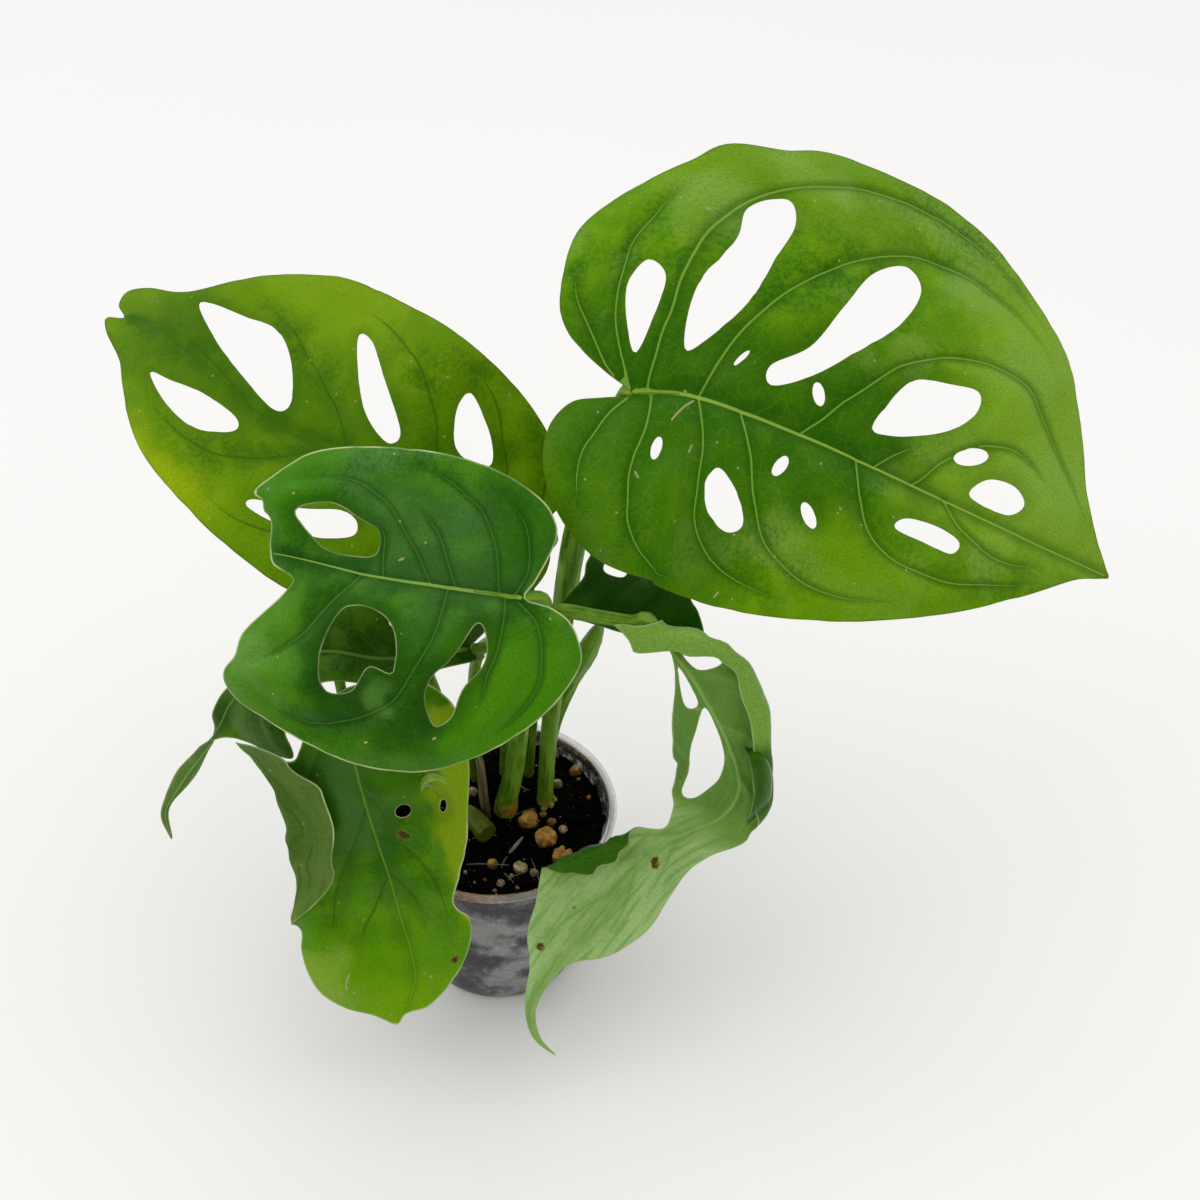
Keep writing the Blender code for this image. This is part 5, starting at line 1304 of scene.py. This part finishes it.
def spread(draw, reach):
    """A random place within reach of the cup's middle."""
    angle, away = draw.uniform(0, 2 * math.pi), reach * math.sqrt(draw.random())
    return away * math.cos(angle), away * math.sin(angle)


def crumbs(draw):
    """Loose crumbs on the soil, clear of the granules."""
    parts = []
    granules = CLAY_GRANULES + PALE_GRANULES
    for count, low, high, detail in CRUMBS:
        while count:
            x, y = spread(draw, CRUMB_REACH)
            radius = draw.uniform(low, high)
            if any(math.hypot(x - a, y - b) < 0.8 * (radius + r) for a, b, r in granules):
                continue
            count -= 1
            z = soil_height(x, y) + radius * draw.uniform(0, 0.45)
            parts.append(grain_points((x, y, z), radius, detail, 0.6, draw, draw.uniform(0.5, 1)))
    return parts


def fibres(draw):
    """The stick, the thread and short wandering fibres on the soil."""
    parts = [tube(even_line(line, 0.7), 8, roughness=0.3)[:2] for line in SOIL_STICKS]
    for _ in range(FIBRES):
        x, y = spread(draw, FIBRE_REACH)
        heading = draw.uniform(0, 6.3)
        line, lift = [], draw.uniform(0.2, 0.9)
        for step in range(draw.randint(5, 9)):
            if math.hypot(x, y) > FIBRE_REACH + 1:
                break
            line.append((x, y, soil_height(x, y) + lift + 0.3 * math.sin(step), draw.uniform(0.05, 0.12)))
            heading += draw.uniform(-0.5, 0.5)
            x, y = x + 0.9 * math.cos(heading), y + 0.9 * math.sin(heading)
        if len(line) > 3:
            parts.append(tube(line, 6)[:2])
    return parts


def add_soil(finish, fibre_finish):
    draw = random.Random(SEED)
    parts = [soil_body(), *crumbs(draw)]
    show("soil_and_crumbs", new_mesh("soil_and_crumbs", *joined(parts)), "dark_soil", [finish], "soil")
    show("soil_fibres", new_mesh("soil_fibres", *joined(fibres(draw))), "dark_soil", [fibre_finish])


def granule_points(centre, radius, cleft_depth):
    """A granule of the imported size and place, with pits and in some cases a cleft."""
    points, faces = ball(5)
    grown = []
    for point in points:
        swell = 1 + GRAIN_UNEVENNESS * noise.noise(point * 1.3 + centre)
        for depth, size in ((0.11, 1.9), (0.05, 6), (0.03, 14)):
            swell += depth * noise.noise(point * size + centre)
        swell -= 0.2 * max(0, noise.noise(point * 4.5 + centre * 1.3) - 0.25)
        swell -= cleft_depth * math.exp(-(((point.x * 0.9 - point.y * 0.4) / 0.2) ** 2))
        grown.append(tuple(centre + point * radius * swell))
    return np.array(grown), faces


def add_granules(finishes):
    draw = random.Random(SEED + 1)
    for kind, slot, places in (
        ("clay_granule", "baked_clay", CLAY_GRANULES),
        ("pale_granule", "pumice", PALE_GRANULES),
    ):
        for number, (x, y, radius) in enumerate(places, 1):
            centre = Vector((x, y, soil_height(x, y) + GRAIN_RISE * radius))
            points, faces = granule_points(centre, radius, GRAIN_CLEFTS.get((kind, number), 0))
            name = f"fine_{kind}_{number}"
            show(name, new_mesh(name, points, faces), slot, [finishes[kind]], f"{kind}_{number}")
    for name, slot, kind, grains in (
        ("clay_grit", "baked_clay", "clay_granule", CLAY_GRIT),
        ("pale_grit", "pumice", "pale_granule", PALE_GRIT),
    ):
        parts = []
        for x, y, radius in grains:
            centre = (x, y, soil_height(x, y) + 0.4 * radius + 0.2)
            parts.append(grain_points(centre, radius, 3, 0.35, draw, draw.uniform(0.7, 1)))
        show(name, new_mesh(name, *joined(parts)), slot, [finishes[kind]])


class Nodes:
    """A material in the making: each method adds a node and returns its output."""

    def __init__(self, name, dimensions="3D"):
        self.dimensions = dimensions
        self.material = bpy.data.materials.new(name)
        self.material.use_nodes = True
        self.tree = self.material.node_tree
        self.shader = self.tree.nodes["Principled BSDF"]

    def feed(self, socket, value):
        if isinstance(value, bpy.types.NodeSocket):
            self.tree.links.new(value, socket)
        elif isinstance(value, tuple) and len(value) == 3 and socket.type == "RGBA":
            socket.default_value = (*value, 1)
        else:
            socket.default_value = value

    def add(self, kind, output, inputs, **settings):
        """A node of any kind, with its settings made and its inputs fed."""
        node = self.tree.nodes.new("ShaderNode" + kind)
        for key, value in settings.items():
            setattr(node, key, value)
        for key, value in inputs.items():
            self.feed(node.inputs[key], value)
        return node.outputs[output]

    def attribute(self, name, output="Fac"):
        return self.add("Attribute", output, {}, attribute_name=name)

    def place(self, scale=1000.0):
        """The place on the object, in millimetres at the usual scale."""
        return self.scaled(self.add("TexCoord", "Object", {}), (scale, scale, scale))

    def scaled(self, where, scale):
        return self.add("Mapping", "Vector", {"Vector": where, "Scale": scale})

    def warped(self, where, scale, amount):
        """The place pushed about by noise, by up to the amount along x and y."""
        inputs = {"Vector": where, "Scale": scale}
        push = self.add("TexNoise", "Color", inputs, noise_dimensions=self.dimensions)
        inputs = {0: push, 1: (amount, amount, 0), 2: where}
        return self.add("VectorMath", 0, inputs, operation="MULTIPLY_ADD")

    def radius(self, where):
        """How far the place is from the object's upright axis."""
        return self.add("VectorMath", "Value", {0: self.scaled(where, (1, 1, 0))}, operation="LENGTH")

    def height(self, where):
        return self.add("SeparateXYZ", "Z", {0: where})

    def noise(self, where, scale, detail=3.0, roughness=0.5):
        inputs = {"Vector": where, "Scale": scale, "Detail": detail, "Roughness": roughness}
        return self.add("TexNoise", "Fac", inputs, noise_dimensions=self.dimensions)

    def cells(self, where, scale, feature="DISTANCE_TO_EDGE"):
        inputs = {"Vector": where, "Scale": scale}
        return self.add("TexVoronoi", "Distance", inputs, feature=feature, voronoi_dimensions=self.dimensions)

    def span(self, value, low, high, start=0.0, end=1.0):
        """Runs smoothly from start to end as the value goes from low to high."""
        inputs = dict(enumerate((value, low, high, start, end)))
        return self.add("MapRange", 0, inputs, interpolation_type="SMOOTHSTEP")

    def math(self, operation, a, b):
        return self.add("Math", 0, {0: a, 1: b}, operation=operation)

    def mix(self, a, b, share):
        return self.add("Mix", 2, {"Factor": share, 6: a, 7: b}, data_type="RGBA")

    def lay(self, colour, other, *limits):
        """The colour with another laid over it. The limits are those of span()."""
        return self.mix(colour, other, self.span(*limits))

    def bump(self, height, strength, distance, onto=None):
        inputs = {"Strength": strength, "Distance": distance * MM, "Height": height}
        if onto:
            inputs["Normal"] = onto
        return self.add("Bump", "Normal", inputs)

    def finish(self, colour, roughness, normal=None, **others):
        others = {"Base_Color": colour, "Roughness": roughness, **others}
        if normal:
            others["Normal"] = normal
        for key, value in others.items():
            self.feed(self.shader.inputs[key.replace("_", " ")], value)
        return self.material

    def let_light_through(self, colour, share):
        light = self.add("BsdfTranslucent", 0, {"Color": colour})
        mixed = self.add("MixShader", 0, {"Fac": share, 1: self.shader.outputs[0], 2: light})
        self.feed(self.tree.nodes["Material Output"].inputs["Surface"], mixed)


def blade_finish(name, look):
    """A blade's surface: patches, among them painted sheen, highlights and shade, a shade along the veins, a
    fine net, the veins and the margin line.
    """
    n = Nodes(name, "2D")
    flat = n.attribute("flat", "Vector")
    vein, vein_line, rib, rib_line, edge, hole, scar, burn = (
        n.attribute(kind) for kind in ("vein", "vein_line", "rib", "rib_line", "edge", "hole", "scar", "burn")
    )
    nearest = n.math("MINIMUM", vein, rib)
    patch = n.noise(flat, 0.05, 2, 0.5)
    blotch = n.noise(flat, 0.2, 3, 0.5)
    mottle = n.noise(flat, 1.1, 3, 0.6)
    grain = n.noise(flat, 3.2, 2, 0.6)
    # Painted shade: the tone is darker close to the veins and the midrib, most of all near the blade's foot,
    # and lighter on the quilts between them as painted light.
    tone = n.math("ADD", n.span(patch, 0.35, 0.65, 0.43, 0.55), n.span(nearest, 0.3, 5, -0.06, 0.05))
    tone = n.math("ADD", tone, n.span(rib_line, 0, look["rib_shade_reach"], -look["rib_shade_depth"], 0.04))
    tone = n.math("ADD", tone, n.span(mottle, 0.3, 0.7, -0.055, 0.055))
    colour = n.lay(look["deep"], look["bright"], tone, 0.36, 0.6)
    colour = n.lay(colour, look["warm"], blotch, 0.45, 0.7, 0, look["warming"])
    # Pale patches at random over the blade: painted sheen, where the glossy skin would mirror the light.
    painted_sheen = n.math("MULTIPLY", n.span(n.noise(flat, 0.07, 2), 0.5, 0.66), n.span(mottle, 0.35, 0.6, 0.4, 1))
    colour = n.mix(colour, look["painted_sheen"], n.math("MULTIPLY", painted_sheen, look["painted_sheen_share"]))
    colour = with_areas(n, colour, flat, look.get("areas", []))
    warped = n.warped(flat, 0.25, 2.4)
    areole = n.cells(warped, 0.15)
    net = n.cells(warped, 0.42)
    fine_net = n.cells(flat, 1.25)
    colour = n.lay(colour, look["net"], areole, 0.002, 0.03, look["netting"] * 0.9, 0)
    colour = n.lay(colour, look["net"], net, 0.01, 0.06, look["netting"], 0)
    colour = n.lay(colour, look["net"], fine_net, 0.01, 0.1, look["netting"] * 0.6, 0)
    colour = n.lay(colour, look["shade"], grain, 0.48, 0.66, 0, 0.36)
    streak = n.noise(n.scaled(flat, (0.07, 0.8, 1)), 1.0, 3, 0.55)
    colour = n.lay(colour, look["shade"], streak, 0.5, 0.64, 0, look["streaks"])
    # Painted shade round the holes.
    colour = n.lay(colour, look["shade"], hole, 0.3, 3.5, look["painted_hole_shade"], 0)
    colour = n.lay(colour, look["shade"], vein, 0.1, look["reach"], look["shading"], 0)
    colour = n.lay(colour, look["shade"], rib, 0.3, look["reach"] * 1.3, 0.7 * look["shading"], 0)
    colour = n.lay(colour, look["vein"], vein_line, 0.35, 0.8, look["veining"], 0)
    colour = n.lay(colour, look["rib"], rib_line, 0.45, 0.85, look["ribbing"], 0)
    # On blades with a pale margin colour, the margin and hole-rim lines are partly the thick edge's own pale
    # colour and partly painted highlight where that edge catches the light.
    uneven = n.span(n.noise(flat, 0.12, 2), 0.35, 0.6, 0.35, 1)
    line = n.math("MULTIPLY", n.span(edge, 0.12, look["margin_width"], look["margining"], 0), uneven)
    colour = n.mix(colour, look["margin"], line)
    line = n.math("MULTIPLY", n.span(hole, 0.08, 0.26, 0.6 * look["margining"], 0), uneven)
    colour = n.mix(colour, look["margin"], line)
    colour = n.lay(colour, SCAR_COLOUR, scar, 0.08, 0.26, 0.85, 0)
    ragged = n.math("ADD", burn, n.span(mottle, 0.3, 0.7, -0.22, 0.22))
    colour = n.lay(colour, BURN_COLOURS[0], ragged, 0, 0.25, 0.8, 0)
    colour = n.lay(colour, BURN_COLOURS[1], ragged, -0.25, 0, 0.95, 0)
    dots = n.span(n.cells(flat, 0.11, "F1"), 0.015, 0.032, 0.8, 0)
    speck = n.math("MULTIPLY", dots, n.span(blotch, 0.5, 0.54))
    colour = n.mix(colour, look["speck"], speck)
    raised = n.math("ADD", n.span(net, 0, 0.22), n.span(mottle, 0.2, 0.8, 0, 0.6))
    surface = n.bump(raised, 0.3, 0.1)
    gloss = n.span(n.noise(flat, 0.09, 3), 0.35, 0.65, look["gloss"] - 0.07, look["gloss"] + 0.1)
    n.finish(
        colour, gloss, surface, Specular_IOR_Level=look["specular"], Specular_Tint=(*look["sheen"], 1)
    )
    n.let_light_through(n.mix(colour, look["glow"], 0.5), look["through"])
    return n.material


def with_areas(n, colour, flat, areas):
    """Soft-edged patches over the colour: colour, share, softness, and the lowest and highest s and w. Some
    are a blade's own tone, others painted shade, shadow, sheen, highlight or glow, as the looks say.
    """
    if not areas:
        return colour
    parts = n.tree.nodes.new("ShaderNodeSeparateXYZ")
    n.feed(parts.inputs[0], n.warped(flat, 0.13, AREA_WARP))
    for patch, share, soft, low_s, high_s, low_w, high_w in areas:
        mask = share
        for axis, low, high in ((0, low_s, high_s), (1, low_w, high_w)):
            value = n.math("SUBTRACT", parts.outputs[axis], AREA_WARP / 2)
            mask = n.math("MULTIPLY", n.span(value, low - soft, low + soft), mask)
            mask = n.math("MULTIPLY", n.span(value, high - soft, high + soft, 1, 0), mask)
        colour = n.mix(colour, patch, mask)
    return colour


def stem_finish(name, deep, bright, foot, gloss=0.42):
    """A stem's surface: streaks along it, and a browner foot."""
    n = Nodes(name)
    along = n.attribute("flat", "Vector")
    where = n.place()
    streak = n.noise(n.scaled(along, (0.07, 0.9, 0.9)), 1.0, 4, 0.6)
    blotch = n.noise(where, 0.25, 3)
    grain = n.noise(n.scaled(along, (1.1, 7, 7)), 1.0, 3, 0.6)
    colour = n.lay(deep, bright, streak, 0.34, 0.66)
    colour = n.lay(colour, bright, blotch, 0.45, 0.7, 0, 0.6)
    colour = n.lay(colour, deep, grain, 0.52, 0.75, 0, 0.5)
    low = n.math("ADD", n.height(where), n.span(blotch, 0.3, 0.7, -3, 3))
    colour = n.lay(colour, foot, low, 43.5, 51, 0.9, 0)
    surface = n.bump(streak, 0.2, 0.12)
    surface = n.bump(grain, 0.25, 0.05, surface)
    n.finish(
        colour, n.span(streak, 0.3, 0.7, gloss - 0.06, gloss + 0.14), surface,
        Specular_IOR_Level=0.35, Specular_Tint=(0.6, 1, 0.35, 1),
    )
    n.let_light_through(colour, 0.12)
    return n.material


def soil_finish(name, dark, pale):
    n = Nodes(name)
    where = n.place()
    clods = n.noise(where, 0.7, 5, 0.65)
    grain = n.noise(where, 4.5, 4, 0.6)
    colour = n.lay(dark, pale, clods, 0.52, 0.8)
    fleck = n.cells(where, 0.7, "F1")
    colour = n.lay(colour, (0.12, 0.07, 0.03), fleck, 0.08, 0.17, 0.8, 0)
    fleck = n.cells(where, 0.3, "F1")
    colour = n.lay(colour, (0.5, 0.43, 0.34), fleck, 0.05, 0.075, 0.9, 0)
    surface = n.bump(grain, 0.9, 0.35)
    return n.finish(colour, n.span(clods, 0.35, 0.65, 0.6, 0.95), surface, Specular_IOR_Level=0.04)


def grain_finish(name, dark, mid, pale):
    """Baked clay or pumice: mottled and pitted, and darker towards the bottom as painted shade."""
    n = Nodes(name)
    where = n.place()
    mottle = n.noise(where, 0.55, 5, 0.65)
    grain = n.noise(where, 3.5, 4, 0.6)
    pits = n.cells(where, 1.7, "F1")
    colour = n.lay(mid, pale, mottle, 0.42, 0.66)
    colour = n.lay(colour, dark, grain, 0.5, 0.72, 0, 0.8)
    colour = n.lay(colour, dark, pits, 0.1, 0.26, 0.7, 0)
    # Painted shade: darker towards the bottom of each grain.
    low = n.math("ADD", n.height(where), n.span(mottle, 0.3, 0.7, -0.5, 0.5))
    colour = n.lay(colour, dark, low, 43, 44.6, 0.8, 0)
    surface = n.bump(n.span(pits, 0.08, 0.4), 0.6, 0.3)
    surface = n.bump(grain, 0.6, 0.15, surface)
    return n.finish(colour, n.span(mottle, 0.4, 0.6, 0.7, 0.95), surface)


def plastic_finish(name):
    """Thin clear plastic: smeared inside with damp soil, hazy outside, and stained along the lip."""
    n = Nodes(name)
    where = n.place()
    smear = n.noise(n.scaled(where, (1, 1, 1.15)), 0.115, 4, 0.52)
    drops = n.noise(where, 0.7, 4, 0.6)
    high = n.height(where)
    slope = (CUP_RIM_RADIUS - CUP_LIP_WIDTH - CUP_FOOT_RADIUS) / CUP_HEIGHT
    across = n.math("SUBTRACT", n.radius(where), n.math("MULTIPLY", high, slope))
    middle = CUP_FOOT_RADIUS - CUP_WALL / 2
    inner = n.math("MULTIPLY", n.span(across, middle - 0.1, middle + 0.1, 1, 0), n.span(high, 39, 40))
    lip = n.math("MULTIPLY", n.span(high, 44.5, 44.9), n.span(inner, 0, 1, 1, 0))
    colour = n.lay((0.07, 0.07, 0.074), (0.32, 0.32, 0.32), smear, 0.41, 0.6)
    colour = n.lay(colour, (0.62, 0.6, 0.56), drops, 0.6, 0.72, 0, 0.5)
    soiled = n.math("MULTIPLY", n.span(high, 41.5, 43), n.span(high, 44.2, 44.6, 1, 0))
    soiled = n.math("MAXIMUM", soiled, n.math("MULTIPLY", inner, n.span(drops, 0.3, 0.5, 0.8, 1.2)))
    colour = n.mix(colour, (0.012, 0.009, 0.007), n.math("MULTIPLY", soiled, 0.9))
    colour = n.mix(colour, (0.74, 0.72, 0.68), lip)
    stain = n.math("MULTIPLY", n.span(high, 43.8, 44.6), n.span(n.noise(where, 0.07, 4, 0.6), 0.41, 0.53))
    colour = n.mix(colour, (0.36, 0.19, 0.08), n.math("MULTIPLY", stain, n.span(drops, 0.35, 0.6, 0.5, 0.95)))
    cloud = n.span(smear, 0.36, 0.64, 0.4, 0.72)
    cloud = n.math("ADD", cloud, n.span(drops, 0.5, 0.75, 0, 0.12))
    cloud = n.math("MAXIMUM", cloud, n.math("MULTIPLY", soiled, 0.8))
    cloud = n.math("MULTIPLY", cloud, n.span(lip, 0, 1, 1, 0))
    cloud = n.math("MAXIMUM", cloud, n.math("MULTIPLY", lip, 0.36))
    cloud = n.math("MAXIMUM", cloud, n.math("MULTIPLY", stain, 0.7))
    surface = n.bump(n.noise(where, 0.3, 3), 0.2, 0.3)
    n.finish(colour, n.span(drops, 0.4, 0.7, 0.18, 0.4), surface, Alpha=cloud)
    return n.material


def foot_finish(name):
    """Old sheaths: yellow-green below, orange-brown and dry along the torn edge."""
    n = Nodes(name)
    where = n.place()
    mottle = n.noise(where, 0.9, 4, 0.6)
    high = n.math("ADD", n.height(where), n.span(mottle, 0.3, 0.7, -0.8, 0.8))
    scarred = n.math("MULTIPLY", n.span(high, 43.9, 45), n.span(n.noise(where, 0.28, 2), 0.42, 0.52))
    colour = n.mix((0.2, 0.29, 0.015), (0.42, 0.17, 0.03), scarred)
    colour = n.lay(colour, (0.1, 0.04, 0.01), n.noise(where, 1.5, 3), 0.5, 0.7, 0, 0.7)
    surface = n.bump(mottle, 0.5, 0.2)
    return n.finish(colour, n.span(mottle, 0.3, 0.7, 0.45, 0.8), surface, Specular_IOR_Level=0.3)


def floor_finish():
    n = Nodes("pale_floor")
    where = n.place(10)
    return n.finish(n.mix((0.82, 0.82, 0.82), (0.84, 0.84, 0.84), n.noise(where, 0.4, 2)), 0.5)


def add_floor():
    bpy.ops.mesh.primitive_grid_add(x_subdivisions=4, y_subdivisions=4, size=8)
    floor = bpy.context.object
    floor.name = "floor"
    floor.data.materials.append(floor_finish())


def add_lights():
    """Soft light from all round, and two large soft lamps that face the plant."""
    world = bpy.data.worlds.new("studio")
    bpy.context.scene.world = world
    world.use_nodes = True
    world.node_tree.nodes["Background"].inputs["Color"].default_value = WORLD_COLOUR
    world.node_tree.nodes["Background"].inputs["Strength"].default_value = WORLD_STRENGTH
    for name, place, size, power in LIGHTS:
        data = bpy.data.lights.new(name, "AREA")
        data.shape = "RECTANGLE"
        data.size, data.size_y = size
        data.energy = power
        lamp = bpy.data.objects.new(name, data)
        bpy.context.scene.collection.objects.link(lamp)
        lamp.location = place
        aim = Vector(LIT_PLACE) - Vector(place)
        lamp.rotation_euler = aim.to_track_quat("-Z", "Y").to_euler()


def add_camera():
    """The camera at the photograph's angle."""
    pitch, tilt = math.radians(CAMERA_PITCH), math.radians(CAMERA_TILT)
    forward = Vector((0, math.cos(pitch), -math.sin(pitch)))
    level_up = Vector((0, math.sin(pitch), math.cos(pitch)))
    level_right = Vector((1, 0, 0))
    right = level_right * math.cos(tilt) + level_up * math.sin(tilt)
    up = level_up * math.cos(tilt) - level_right * math.sin(tilt)
    data = bpy.data.cameras.new("camera")
    data.lens = CAMERA_LENS
    data.sensor_width = 36
    camera = bpy.data.objects.new("camera", data)
    bpy.context.scene.collection.objects.link(camera)
    turn = Matrix((right, up, -forward)).transposed().to_4x4()
    camera.matrix_world = Matrix.Translation(Vector(CAMERA_PLACE)) @ turn
    bpy.context.scene.camera = camera


def main():
    for thing in list(bpy.data.objects):
        bpy.data.objects.remove(thing, do_unlink=True)
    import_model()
    bpy.context.scene.view_settings.view_transform = "Standard"
    add_floor()
    add_lights()
    add_camera()
    for name, slot in LEAF_SLOTS.items():
        look = LOOKS[name]
        top = blade_finish(f"{name}_upper_side", look)
        under = blade_finish(f"{name}_underside", {**look, **look["below"]})
        add_leaf(name, slot, [top, under])
        if name == "twisted":
            add_lobe([top, under])
    skins = {kind: stem_finish(*look) for kind, look in STEM_LOOKS.items()}
    add_stalks(skins)
    add_curl(skins["torn_curl"])
    add_feet(foot_finish("old_sheaths"))
    add_granules({kind: grain_finish(*look) for kind, look in GRAIN_LOOKS.items()})
    add_cup(plastic_finish("hazy_plastic"))
    add_soil(soil_finish("damp_soil", *SOIL_COLOURS), skins["fibre"])


main()
